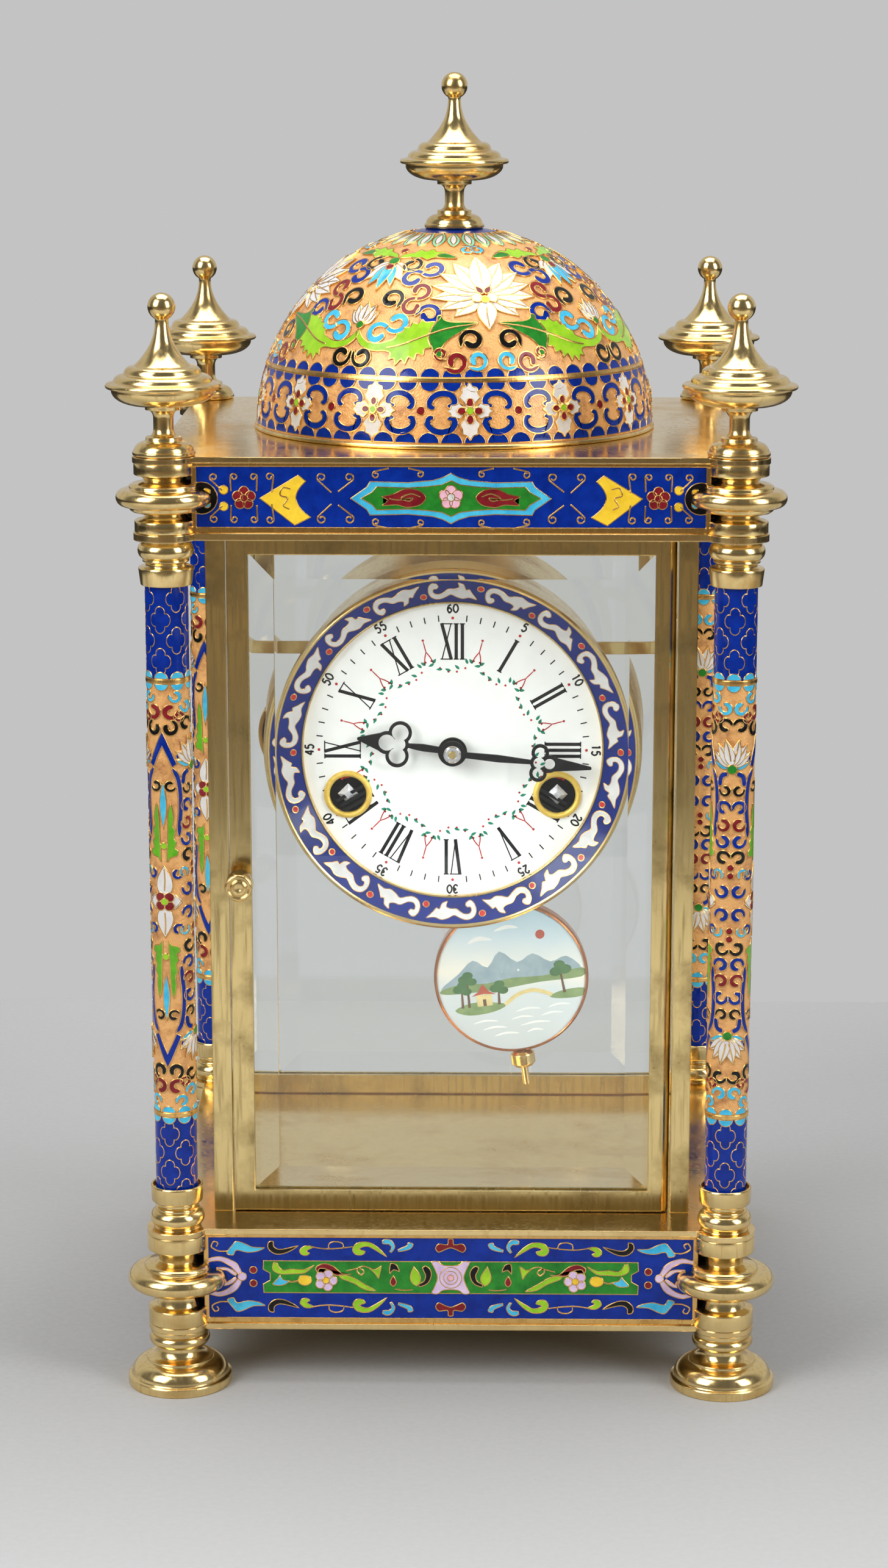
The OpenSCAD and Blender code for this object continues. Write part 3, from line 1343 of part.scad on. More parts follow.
// Strike
pin_len = 2.4;
lift_pin_r = 0.7;
module hammer_wheel() {
    color("khaki") at_arbor(hammer_wheel_at) {
        fine_arbor();
        train_wheel(hammer_teeth, hammer_m, hammer_phase, y_second, plan * lift_ring - lift_pin_r - 0.8, 4);
        train_pinion(great_leaves, barrel_m, hammer_phase, y_great, barrel_tooth_len);
        for (i = [0:lift_pins - 1])
            rod_y(polar(plan * lift_ring, 360 * (i + 0.5) / lift_pins), lift_pin_r, y_second + wheel_t / 2,
                y_second + wheel_t + pin_len);
    }
}
module fly() {
    color("khaki") at_arbor(fly_at) {
        fine_arbor();
        train_pinion(fine_leaves, hammer_m, fly_phase, y_second, wheel_t);
        slab_y(y_fly - fly_len, y_fly) square([2 * plan * fly_r, 1.2], center = true);
        rod_y([0, 0], arbor_r + 0.8, y_fly - fly_len, y_fly);
    }
}
module hammer() {
    tail_a = hammer_dir + 180;
    tail = plan * (hammer_ring - lift_ring) - lift_pin_r - face_gap;
    y_arm = y_back_out + 2;
    y_tail = y_second + wheel_t + 0.8;
    color("silver") at_arbor(hammer_at) {
        rod_y([0, 0], arbor_r, y_front_in + end_shake, y_back - end_shake);
        rod_y([0, 0], pivot_r, y_front + 0.4, y_arm + 1.5);
        slab_y(y_tail, y_tail + 1.2) {
            circle(r = 2.2);
            rotate(tail_a) translate([0, -1]) square([tail, 2]);
        }
        slab_y(y_arm, y_arm + 1.5) {
            circle(r = 2.2);
            rotate(-45) translate([0, -1.2]) square([norm(arm_at), 2.4]);
        }
        rod_y(arm_at, hammer_head_r, y_arm, y_arm + hammer_head_len);
    }
}
module bell() {
    inner = bell_rim - bell_wall;
    seat = bell_y + bell_depth - bell_wall - bell_boss;
    color("gold") at_arbor(bell_at)
        turned_y(concat([[inner, bell_y], [bell_rim, bell_y]],
            [for (i = [0:8]) let (t = 90 * i / 8)
                [bell_rim * cos(t), bell_y + 1 + (bell_depth - 1) * sin(t)]],
            [[0, seat], [bell_stud_r + bell_boss, seat]],
            [for (i = [7:-1:0]) let (t = 90 * i / 8)
                [inner * cos(t), bell_y + 1 + (bell_depth - 1 - bell_wall) * sin(t)]]));
}

feet();
base_bottom_plate();
base_spools();
base_panels();
base_top_plate();
column_cups();
column_tubes();
column_capitals();
lintel_plate();
frieze_spools();
frieze_panels();
top_plate();
finials();
tie_rods();
dome();
case_posts();
side_rails();
side_glasses();
front_door_frame();
front_door_glass();
front_door_pins();
front_knob();
rear_door_frame();
rear_door_glass();
rear_door_pins();
rear_knob();
drum();
bezel();
bezel_enamel();
dial();
winding_eyelets();
movement_straps();
front_plate();
back_plate();
pillars();
time_barrel();
time_arbor();
time_click();
strike_barrel();
strike_arbor();
strike_click();
intermediate_wheel();
centre_wheel();
third_wheel();
escape_wheel();
pallets();
cannon_pinion();
minute_wheel();
hour_wheel();
hour_hand();
minute_hand();
hand_nut();
suspension_cock();
pendulum_rod();
pendulum_bob();
rating_nut();
hammer_wheel();
fly();
hammer();
bell();
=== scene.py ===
import math

import bmesh
import bpy
from mathutils import Matrix, Vector


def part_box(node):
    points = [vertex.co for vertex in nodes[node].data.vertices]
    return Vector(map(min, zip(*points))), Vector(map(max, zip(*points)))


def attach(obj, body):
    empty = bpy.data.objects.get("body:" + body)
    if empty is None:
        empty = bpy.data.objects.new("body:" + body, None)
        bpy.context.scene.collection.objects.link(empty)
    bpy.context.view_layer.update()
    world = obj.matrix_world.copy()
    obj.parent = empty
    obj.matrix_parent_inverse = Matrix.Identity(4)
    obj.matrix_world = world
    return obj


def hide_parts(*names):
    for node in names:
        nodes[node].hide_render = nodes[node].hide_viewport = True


# A four-glass mantel clock: brass case, enamelled columns, panels and dome, painted dial and pendulum
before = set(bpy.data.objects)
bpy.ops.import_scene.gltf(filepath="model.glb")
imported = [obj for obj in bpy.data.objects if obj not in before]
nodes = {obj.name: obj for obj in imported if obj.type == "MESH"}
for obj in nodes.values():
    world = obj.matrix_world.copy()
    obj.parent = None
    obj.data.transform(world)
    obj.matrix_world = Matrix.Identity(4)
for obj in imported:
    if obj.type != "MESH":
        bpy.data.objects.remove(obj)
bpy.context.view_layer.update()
TAU = math.tau


# Shader helpers
def node(tree, kind, settings=None, **inputs):
    made = tree.nodes.new("ShaderNode" + kind)
    for key, value in (settings or {}).items():
        setattr(made, key, value)
    for key, value in inputs.items():
        socket = made.inputs[int(key[1:]) if key[1:].isdigit() else key.replace("_", " ")]
        if isinstance(value, bpy.types.NodeSocket):
            tree.links.new(value, socket)
        else:
            socket.default_value = value
    return made


def math_node(tree, operation, *values):
    inputs = {f"i{k}": value for k, value in enumerate(values)}
    return node(tree, "Math", {"operation": operation}, **inputs).outputs[0]


def spread(tree, value, low, high, first=0.0, last=1.0):
    # a value from low to high as one from first to last
    spans = {"From_Min": low, "From_Max": high, "To_Min": first, "To_Max": last}
    return node(tree, "MapRange", Value=value, **spans).outputs[0]


def mixed(tree, share, first, last):
    return node(tree, "Mix", {"data_type": "RGBA"}, i0=share, i6=first, i7=last).outputs[2]


def ramp(tree, value, *stops):
    made = node(tree, "ValToRGB", Fac=value)
    elements = made.color_ramp.elements
    while len(elements) < len(stops):
        elements.new(0.5)
    for element, (place, colour) in zip(elements, stops):
        element.position, element.color = place, colour
    return made.outputs["Color"]


def srgb(*colour):
    # display values from 0 to 255 as linear light
    return (*((c / 3294.6 if c <= 10.31 else ((c / 255 + 0.055) / 1.055) ** 2.4) for c in colour), 1)


def group(name, inputs, outputs):
    tree = bpy.data.node_groups.new(name, "ShaderNodeTree")
    for sockets, way in ((inputs, "INPUT"), (outputs, "OUTPUT")):
        for label, kind in sockets.items():
            tree.interface.new_socket(label, in_out=way, socket_type="NodeSocket" + kind)
    return tree, tree.nodes.new("NodeGroupInput").outputs, tree.nodes.new("NodeGroupOutput").inputs


def join(tree, sockets, **values):
    for key, value in values.items():
        tree.links.new(value, sockets[key.replace("_", " ")])
    return tree


def object_place(tree):
    return node(tree, "TexCoord").outputs["Object"]


def noise(tree, place, scale, detail, roughness=0.5):
    grain = {"Scale": scale, "Detail": detail, "Roughness": roughness}
    return node(tree, "TexNoise", Vector=place, **grain).outputs["Fac"]


def spots(tree, place, scale):
    return node(tree, "TexVoronoi", Vector=place, Scale=scale).outputs["Distance"]


# What every finish puts out, how far its relief stands in metres, and the stretch of brushed lines along Z
LOOK = {"Color": "Color", "Roughness": "Float", "Height": "Float"}
RELIEF = 0.0002
BRUSHING = (800.0, 800.0, 45.0)


def rubbed_edge_highlight_group():
    # where a rounded edge turns away from its faces; the mask paints a highlight along the edges
    tree, given, made = group("rubbed_edge_highlight", {"Radius": "Float"}, {"Mask": "Float", "Normal": "Vector"})
    rounded = node(tree, "Bevel", {"samples": 4}, Radius=given["Radius"]).outputs["Normal"]
    plain = node(tree, "NewGeometry").outputs["Normal"]
    along = node(tree, "VectorMath", {"operation": "DOT_PRODUCT"}, i0=rounded, i1=plain).outputs["Value"]
    return join(tree, made, Mask=spread(tree, along, 0.995, 0.86), Normal=rounded)


def worn_highlit_metal_group():
    # tarnished patches, specks and brushed streaks, kept clear along the edges as rubbed wear and as a
    # painted highlight
    inputs = {"Bright": "Color", "Dull": "Color", "Size": "Float", "Edge_highlight": "Float", "Satin": "Float"}
    tree, given, made = group("worn_highlit_metal", inputs, LOOK)
    place = object_place(tree)
    patches = noise(tree, place, given["Size"], 6.0, 0.6)
    brushed = node(tree, "VectorMath", {"operation": "MULTIPLY"}, i0=place, i1=BRUSHING).outputs[0]
    streaks = noise(tree, brushed, 1.0, 3.0)
    dots = spread(tree, spots(tree, place, 240.0), 0.24, 0.08, 0.0, 0.8)
    speck = math_node(tree, "MULTIPLY", dots, spread(tree, patches, 0.5, 0.62))
    tarnish = math_node(tree, "MAXIMUM", spread(tree, patches, 0.48, 0.74), speck)
    tarnish = math_node(tree, "MAXIMUM", tarnish, spread(tree, streaks, 0.5, 0.7, 0.0, 0.45))
    # the edges take the bright colour: rubbed wear, and a painted highlight
    tarnish_off_lit_edges = math_node(tree, "MULTIPLY", tarnish, math_node(tree, "SUBTRACT", 1.0, given["Edge_highlight"]))
    rough = math_node(tree, "MULTIPLY_ADD", tarnish_off_lit_edges, 0.16, spread(tree, streaks, 0.3, 0.7, 0.07, 0.14))
    return join(tree, made, Color=mixed(tree, tarnish_off_lit_edges, given["Bright"], given["Dull"]),
                Roughness=math_node(tree, "ADD", rough, given["Satin"]),
                Height=math_node(tree, "MULTIPLY_ADD", speck, -0.6, streaks))


def pitted_gilding_group():
    # stained gilding with fine pits
    tree, given, made = group("pitted_gilding", {"Bright": "Color", "Dull": "Color"}, LOOK)
    place = object_place(tree)
    stains, pits = noise(tree, place, 130.0, 7.0, 0.66), spots(tree, place, 1500.0)
    pitting = spread(tree, pits, 0.26, 0.06, 0.0, 0.6)
    stain = math_node(tree, "MAXIMUM", spread(tree, stains, 0.48, 0.72), pitting)
    return join(tree, made, Color=mixed(tree, stain, given["Bright"], given["Dull"]),
                Roughness=spread(tree, stains, 0.3, 0.8, 0.38, 0.56),
                Height=math_node(tree, "ADD", pits, stains))


def fired_enamel_group():
    # glassy colour that clouds from light to deep, with pinholes
    tree, given, made = group("fired_enamel", {"Light": "Color", "Deep": "Color"}, LOOK)
    place = object_place(tree)
    cloud, pits = noise(tree, place, 210.0, 5.0, 0.6), spots(tree, place, 1100.0)
    return join(tree, made, Color=mixed(tree, spread(tree, cloud, 0.3, 0.7), given["Deep"], given["Light"]),
                Roughness=spread(tree, cloud, 0.25, 0.75, 0.1, 0.24),
                Height=math_node(tree, "MULTIPLY_ADD", pits, 0.5, cloud))


EDGE_HIGHLIGHT, WORN_HIGHLIT = rubbed_edge_highlight_group(), worn_highlit_metal_group()
PITTED, FIRED = pitted_gilding_group(), fired_enamel_group()


def blank(name):
    made = bpy.data.materials.new(name)
    made.use_nodes = True
    return made, made.node_tree, made.node_tree.nodes["Principled BSDF"]


def set_plain(shader, **values):
    for key, value in values.items():
        shader.inputs[key.replace("_", " ")].default_value = value


def show_mix(tree, share, first, last):
    both = node(tree, "MixShader", i0=share, i1=first, i2=last).outputs["Shader"]
    tree.links.new(both, tree.nodes["Material Output"].inputs["Surface"])


def surface(name, shared, inputs, bump, edge=0.0, **plain):
    made, tree, shader = blank(name)
    look = node(tree, "Group", {"node_tree": shared}, **inputs)
    relief = node(tree, "Bump", Height=look.outputs["Height"], Strength=bump, Distance=RELIEF)
    if edge:
        # the bevel rounds the shading of the edges, and its mask paints a highlight along them
        rubbed_and_lit_edge = node(tree, "Group", {"node_tree": EDGE_HIGHLIGHT}, Radius=edge).outputs
        tree.links.new(rubbed_and_lit_edge["Mask"], look.inputs["Edge_highlight"])
        tree.links.new(rubbed_and_lit_edge["Normal"], relief.inputs["Normal"])
    join(tree, shader.inputs, Base_Color=look.outputs["Color"], Roughness=look.outputs["Roughness"],
         Normal=relief.outputs["Normal"])
    set_plain(shader, **plain)
    return made


def metal(name, bright, dull, size=60.0, bump=0.06, edge=0.0006, satin=0.0):
    look = {"Bright": srgb(*bright), "Dull": srgb(*dull), "Size": size, "Satin": satin}
    return surface(name, WORN_HIGHLIT, look, bump, edge, Metallic=1.0)


def enamel(name, light, deep, bump=0.12):
    look = {"Light": srgb(*light), "Deep": srgb(*deep)}
    return surface(name, FIRED, look, bump, Specular_IOR_Level=0.2, Coat_Weight=0.15, Coat_Roughness=0.05)


def pitted(name, bright, dull, metallic, coat):
    look = {"Bright": srgb(*bright), "Dull": srgb(*dull)}
    return surface(name, PITTED, look, 0.5, Metallic=metallic, Coat_Weight=coat, Coat_Roughness=0.2)


# near-black enamel, the painted shade inside the winding holes
def matt_painted_shade():
    look = {"Light": srgb(14, 13, 12), "Deep": srgb(6, 6, 6)}
    return surface("matt_painted_shade", FIRED, look, 0.3, Specular_IOR_Level=0.1)


# Finishes: metals bright and dull, enamels light and deep
gilt = metal("gilt_brass", (240, 212, 148), (200, 162, 96), satin=0.06)
aged = metal("aged_brass", (236, 210, 146), (140, 118, 72), 42.0, satin=0.07)
plate = metal("plate_brass", (246, 216, 152), (222, 186, 120), 45.0, 0.03, satin=0.05)
works = metal("movement_brass", (230, 204, 140), (176, 146, 88), 80.0)
wire = metal("cloison_wire", (238, 192, 116), (190, 138, 76), 120.0, 0.1, satin=0.1)
blued = metal("blued_steel", (150, 152, 160), (84, 84, 92), 90.0)
bright_steel = metal("bright_steel", (236, 236, 240), (190, 190, 198), 90.0)
bell_metal = metal("bell_bronze", (206, 172, 112), (140, 104, 56), 70.0)
copper = metal("copper_rim", (206, 140, 96), (140, 84, 52), 90.0)
gilding = pitted("pitted_gilding", (230, 172, 104), (156, 94, 44), 0.25, 0.4)
eyelet_gold = pitted("eyelet_gold", (250, 214, 96), (220, 172, 60), 0.5, 0.5)
key_steel = pitted("key_steel", (222, 222, 226), (150, 150, 158), 0.5, 0.3)
cobalt = enamel("cobalt_enamel", (4, 46, 148), (2, 32, 118))
ring_cobalt = enamel("ring_enamel", (0, 36, 126), (0, 26, 100))
turquoise = enamel("turquoise_enamel", (84, 196, 226), (48, 160, 204))
white = enamel("white_enamel", (253, 253, 251), (247, 247, 244))
# the same white enamel as the dial, made darker as painted shade so that the lamps don't clip it
petal_white_painted_shade = enamel("petal_enamel_painted_shade", (220, 218, 216), (204, 200, 198))
lacquer = enamel("black_lacquer", (20, 19, 20), (10, 10, 11))
well_painted_shade = matt_painted_shade()


def clear_glass():
    # faintly smeared, and lets the lamps shine through to what stands behind it
    made, tree, shader = blank("bevelled_glass")
    set_plain(shader, Base_Color=(0.965, 0.985, 0.975, 1), Transmission_Weight=1.0, IOR=1.5)
    smears = noise(tree, object_place(tree), 35.0, 6.0)
    tree.links.new(spread(tree, smears, 0.5, 0.85, 0.0, 0.03), shader.inputs["Roughness"])
    shadow = node(tree, "LightPath").outputs["Is Shadow Ray"]
    through = node(tree, "BsdfTransparent", Color=(0.94, 0.96, 0.955, 1)).outputs["BSDF"]
    show_mix(tree, shadow, shader.outputs["BSDF"], through)
    return made


glass = clear_glass()


# Mesh helpers, in millimetres until a piece is made
TOUCHING = 1e-4
FACING_FRONT = Matrix.Rotation(math.pi / 2, 4, "X")


def extent(name):
    low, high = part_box(name)
    return low * 1000, high * 1000


def linked(name, bm, materials, crease=32):
    # an object of the mesh, smooth but for edges sharper than the crease in degrees
    mesh = bpy.data.meshes.new(name)
    bm.to_mesh(mesh)
    bm.free()
    for material in materials:
        mesh.materials.append(material)
    mesh.shade_smooth()
    mesh.set_sharp_from_angle(angle=math.radians(crease))
    made = bpy.data.objects.new(name, mesh)
    bpy.context.scene.collection.objects.link(made)
    return made


def piece(name, bm, materials, body="case", replaces=()):
    bmesh.ops.remove_doubles(bm, verts=bm.verts, dist=TOUCHING)
    bmesh.ops.recalc_face_normals(bm, faces=bm.faces)
    bmesh.ops.scale(bm, vec=(0.001,) * 3, verts=bm.verts)
    made = linked(name, bm, materials)
    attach(made, body)
    if replaces:
        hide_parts(*replaces)


def eased(points, reach=0.3, sharp=0.55):
    # a profile with its corners rounded over where they turn by more than the sharp angle
    out = [Vector(points[0])]
    for a, b, c in zip(points, points[1:], points[2:]):
        a, b, c = Vector(a), Vector(b), Vector(c)
        before, after = b - a, c - b
        if before.length < 1e-6:
            continue
        if after.length > 1e-6 and before.angle(after) > sharp:
            first = b - before.normalized() * min(reach, 0.4 * before.length)
            last = b + after.normalized() * min(reach, 0.4 * after.length)
            out += [first, (first + 2 * b + last) / 4, last]
        else:
            out.append(b)
    return out + [Vector(points[-1])]


def lathe(profile, steps=48, turn=Matrix()):
    # a profile of radius and height, spun about Z and then turned to its place
    bm = bmesh.new()
    verts = [bm.verts.new((p[0], 0, p[1])) for p in profile]
    edges = [bm.edges.new(pair) for pair in zip(verts, verts[1:])]
    bmesh.ops.spin(bm, geom=verts + edges, cent=(0, 0, 0), axis=(0, 0, 1), angle=TAU, steps=steps,
                   use_merge=True)
    bmesh.ops.remove_doubles(bm, verts=bm.verts, dist=TOUCHING)
    bmesh.ops.transform(bm, matrix=turn, verts=bm.verts)
    return bm


def repeated(bm, places):
    # copies of one shape, each moved by its matrix
    whole, mesh = bmesh.new(), bpy.data.meshes.new("repeated")
    bm.to_mesh(mesh)
    bm.free()
    for matrix in places:
        first = len(whole.verts)
        whole.from_mesh(mesh)
        whole.verts.ensure_lookup_table()
        bmesh.ops.transform(whole, matrix=matrix, verts=whole.verts[first:])
    bpy.data.meshes.remove(mesh)
    return whole


def at(x, y, z):
    return Matrix.Translation((x, y, z))


def quarter(steps):
    return [math.pi / 2 * i / steps for i in range(steps + 1)]


def bulge(a, b, steps=9):
    # a quarter of an ellipse from a to b that swells outwards
    return [(b[0] + (a[0] - b[0]) * math.cos(t), a[1] + (b[1] - a[1]) * math.sin(t)) for t in quarter(steps)]


def scoop(a, b, steps=9):
    # a quarter of an ellipse from a to b that is hollowed
    return [(a[0] + (b[0] - a[0]) * math.sin(t), b[1] + (a[1] - b[1]) * math.cos(t)) for t in quarter(steps)]


def bead(r, z, h, depth, steps=12):
    # a half-round ring of the given height that stands out to radius r
    return [(r - depth + depth * math.cos(t), z + h / 2 + h / 2 * math.sin(t))
            for t in (math.pi * i / steps - math.pi / 2 for i in range(steps + 1))]


# Turned brass of the case: profiles of radius and height from each piece's foot
TUBE_R = 7.05
TUBES_LOW, TUBES_HIGH = extent("column_tubes")
COLUMNS = [(x, y) for x in (TUBES_LOW.x + TUBE_R, TUBES_HIGH.x - TUBE_R)
           for y in (TUBES_LOW.y + TUBE_R, TUBES_HIGH.y - TUBE_R)]


def corners(z):
    return [at(x, y, z) for x, y in COLUMNS]


def turned(name, profile, replaced, reach=0.3, more=()):
    # one at each corner, and at more places
    foot = extent(replaced)[0].z
    made = repeated(lathe(eased(profile, reach), 56), corners(foot) + [at(*place) for place in more])
    piece(name, made, [gilt], replaces=[replaced])


def foot_profile():
    profile = [(0, 0), (17.8, 0), (17.8, 3)] + bulge((16.6, 3.4), (11.4, 8.4)) + [(11.4, 9.4)]
    profile += scoop((10.8, 9.4), (7.3, 13)) + [(7.3, 13.8)] + bead(10.4, 13.8, 4.4, 2.2)
    return profile + [(9.9, 18.2), (9.9, 20), (0, 20)]


def spool_profile(h, collar_r, collar_h, neck_r, ring_r, ring_h):
    # the lower half is drawn and the upper half mirrors it about the ring
    low = h / 2 - ring_h / 2
    half = [(0, 0), (collar_r, 0), (collar_r, collar_h), (neck_r + 1, collar_h + 0.6), (neck_r, low - 2.2),
            (10.6, low - 1.4), (11.6, low - 0.7), (11.6, low + 0.4)]
    ring = bead(ring_r, low + 0.4, ring_h - 0.8, ring_h / 2 - 0.4)
    return half + ring + [(r, h - z) for r, z in half[::-1]]


def cup_profile():
    profile = [(0, 0), (8.2, 0)] + bead(9.2, 0.6, 5.8, 2.4) + [(7.5, 6.4), (7.5, 7.2), (6.3, 7.6), (6.3, 8.9)]
    return profile + [(8.3, 9.2), (8.7, 9.8), (8.9, 14.9), (8.6, 15.3), (8.1, 15.3), (8.1, 11.3), (0, 11.3)]


def capital_profile():
    profile = [(0, 4), (7.35, 4), (7.35, 0), (8.4, 0), (9.1, 5.6), (8.7, 6.1), (6.7, 6.1), (6.7, 7.3)]
    profile += [(7.7, 7.7), (7.7, 8.5)] + bead(9.2, 8.5, 5.8, 2.4)
    return profile + [(8.2, 14.3), (8.2, 14.9), (0, 14.9)]


FINIAL_H, FINIAL_BALL = 52.55, 4.5


def finial_profile():
    neck, neck_foot, neck_top, flare, steps = 2.15, 29.1, 44.1, 7.25, 14
    profile = [(0, 0), (9.75, 0), (10.25, 0.5), (10.25, 1.6)] + bulge((9.75, 1.6), (5.9, 4.8)) + [(5.9, 6.2)]
    profile += scoop((5.3, 6.2), (3.3, 8.8)) + scoop((5.3, 14.9), (3.3, 12.3))[::-1]
    profile += [(5.9, 14.9), (5.9, 16.3)] + bulge((16.8, 21.3), (7.3, 16.3))[::-1] + [(16.8, 21.9)]
    profile += bead(18.7, 21.9, 1.7, 0.85, 8) + bulge((16, 24.1), (13.1, 26.35))
    profile += bulge((12.5, 26.85), (10, neck_foot))
    for i in range(steps + 1):
        share = i / steps
        profile.append((neck + flare * (1 - share) ** 2.2, neck_foot + (neck_top - neck_foot) * share))
    start = math.asin(neck / FINIAL_BALL)
    sweep = [start + (math.pi - start) * i / 16 for i in range(1, 17)]
    middle = FINIAL_H - FINIAL_BALL
    return profile + [(FINIAL_BALL * math.sin(a), middle - FINIAL_BALL * math.cos(a)) for a in sweep]


BASE_SPOOL = {"h": 32.1, "collar_r": 10.4, "collar_h": 5.6, "neck_r": 6.4, "ring_r": 17.2, "ring_h": 7.6}
FRIEZE_SPOOL = {"h": 22.9, "collar_r": 10, "collar_h": 4, "neck_r": 6.5, "ring_r": 16, "ring_h": 6.4}
DOME_FINIAL = (0, 0, extent("finials")[1].z - FINIAL_H)
turned("turned_feet", foot_profile(), "feet")
turned("turned_base_spools", spool_profile(**BASE_SPOOL), "base_spools")
turned("turned_frieze_spools", spool_profile(**FRIEZE_SPOOL), "frieze_spools")
turned("turned_column_cups", cup_profile(), "column_cups")
turned("turned_column_capitals", capital_profile(), "column_capitals")
turned("turned_finials", finial_profile(), "finials", 0.2, [DOME_FINIAL])


# Cloisonne: outlines in millimetres, u to the right and v up, each a wire-edged cell of one colour
PAINTS = {
    "wire": wire, "cobalt": cobalt, "turquoise": turquoise, "white": petal_white_painted_shade, "black": lacquer,
    "green": enamel("green_enamel", (46, 138, 44), (26, 104, 34)),
    "leaf": enamel("leaf_enamel", (108, 178, 40), (78, 150, 32)),
    "lime": enamel("lime_enamel", (160, 206, 44), (126, 180, 36)),
    "maroon": enamel("maroon_enamel", (138, 34, 40), (100, 18, 28)),
    "yellow": enamel("yellow_enamel", (246, 208, 62), (224, 180, 40)),
    "lilac": enamel("lilac_enamel", (220, 198, 224), (196, 168, 204)),
    "mint": enamel("mint_enamel", (146, 214, 178), (116, 188, 150)),
    "rose": enamel("rose_enamel", (240, 196, 208), (218, 156, 178)),
    "red": enamel("red_enamel", (206, 50, 44), (170, 32, 32)),
    "teal": enamel("teal_enamel", (26, 146, 112), (18, 120, 92)),
    "far": enamel("far_hills", (170, 190, 200), (146, 170, 184)),
    "shore": enamel("shore_green", (150, 172, 122), (120, 148, 98)),
    "leafage": enamel("leafage_green", (96, 134, 88), (70, 110, 70)),
    "trunk": enamel("trunk_brown", (122, 98, 80), (96, 74, 60)),
    "straw": enamel("straw_yellow", (236, 222, 166), (214, 196, 134)),
    "tile": enamel("roof_tile", (200, 108, 84), (170, 82, 66)),
    "foam": enamel("foam_white", (246, 249, 250), (230, 237, 240)),
}
INDEX = {name: i for i, name in enumerate(PAINTS)}
ROOT = -0.15


def smooth(points, closed=True, per=3):
    # a curve through the points, with so many steps to each span
    count, out = len(points), []
    for i in range(count if closed else count - 1):
        near = [i + k if not closed else (i + k) % count for k in (-1, 0, 1, 2)]
        a, b, c, d = (Vector(points[min(max(k, 0), count - 1)]) for k in near)
        for t in (j / per for j in range(per)):
            bend = (2 * a - 5 * b + 4 * c - d) * t * t + (3 * b - a - 3 * c + d) * t ** 3
            out.append(0.5 * (2 * b + (c - a) * t + bend))
    return out if closed else out + [Vector(points[-1])]


def ribbon(path, half):
    # the outline of a stroke along a path, half giving its half width from start to end
    right, left, last = [], [], len(path) - 1
    for i, p in enumerate(path):
        along = (path[min(i + 1, last)] - path[max(i - 1, 0)]).normalized()
        side = Vector((-along.y, along.x)) * half(i / last)
        right.append(p - side)
        left.append(p + side)
    return right + left[::-1]


def cell(paint, outline, layer=0):
    # one field of a drawing, its outline running left about; higher layers lie over lower ones
    outline = [Vector(p) for p in outline]
    area = sum(a.x * b.y - b.x * a.y for a, b in zip(outline, outline[1:] + outline[:1]))
    return [(outline if area > 0 else outline[::-1], paint, layer)]


def blob(paint, points, layer=0, per=3):
    return cell(paint, smooth(points, per=per), layer)


def disc(paint, r, u=0, v=0, layer=0, steps=16, tall=1.0):
    turns = [TAU * i / steps for i in range(steps)]
    return cell(paint, [(u + r * math.cos(a), v + r * tall * math.sin(a)) for a in turns], layer)


def half_disc(paint, r, up, steps=10):
    turns = [math.pi * i / steps for i in range(steps + 1)]
    return cell(paint, [(r * math.cos(a), up * r * math.sin(a)) for a in turns])


def petal(paint, length, width, layer=0, start=0.0, point=0.75, steps=9):
    # points up from the middle of its flower
    side = [(width / 2 * math.sin(math.pi * (i / steps) ** point), start + (length - start) * i / steps)
            for i in range(1, steps)]
    return cell(paint, [(0, start)] + side + [(0, length)] + [(-x, y) for x, y in side[::-1]], layer)


def ribbed(paint, length, width, layer=0, start=0.0):
    # a petal with a wire along its middle
    rib = [(0, start + 0.2 * length), (0.2, 0.6 * length), (0, 0.9 * length)]
    return petal(paint, length, width, layer, start) + curve("wire", rib, 0.22, 0.2, layer + 0.4)


def curve(paint, points, half=0.2, taper=0.5, layer=0):
    path = smooth(points, False, 5)
    return cell(paint, ribbon(path, lambda t: half * (1 - taper * (2 * t - 1) ** 2)), layer)


def stroke(paint, points, half, layer=0):
    # an even stroke with round ends
    def width(t):
        return half * max(0.3, min(1, (8 * t) ** 0.5, (8 - 8 * t) ** 0.5))
    return cell(paint, ribbon(smooth(points, False, 5), width), layer)


def comma(paint, points, half, layer=0, head=0.22):
    # a stroke with a thick head and a thin tail
    path = smooth(points, False, 5)
    return cell(paint, ribbon(path, lambda t: half * (1.0 - 0.62 * t) * min(1, 0.45 + t / head)), layer)


def spiral(r, turn, tail, steps=24):
    # winds outwards to radius r and runs on straight as a tail
    eye = 0.36
    reach = [(t, r * (eye + (1 - eye) * t ** 0.8)) for t in (i / steps for i in range(steps + 1))]
    path = [Vector((far * math.cos(turn * t), far * math.sin(turn * t))) for t, far in reach]
    along = (path[-1] - path[-2]).normalized()
    return path + [path[-1] + along * tail * k / 3 for k in (1, 2, 3)]


def bulb_end(half):
    # half widths of a curl, thick and round at its eye and tapering to its tail
    return lambda t: half * (1.22 - 0.5 * t) * max(0.35, min(1, (14 * t) ** 0.5, (9 - 9 * t) ** 0.5))


def curl(paint, r, toward, hand=1, thick=0.32, turn=370, tail=0.6):
    # a spiral from a bulb at its middle to a tail that points the given way, turning left or right
    path = spiral(r, math.radians(turn), tail * r)
    made = cell(paint, ribbon(path, bulb_end(thick * r)))
    return placed(made, face=toward - hand * turn - 90, flip=hand)


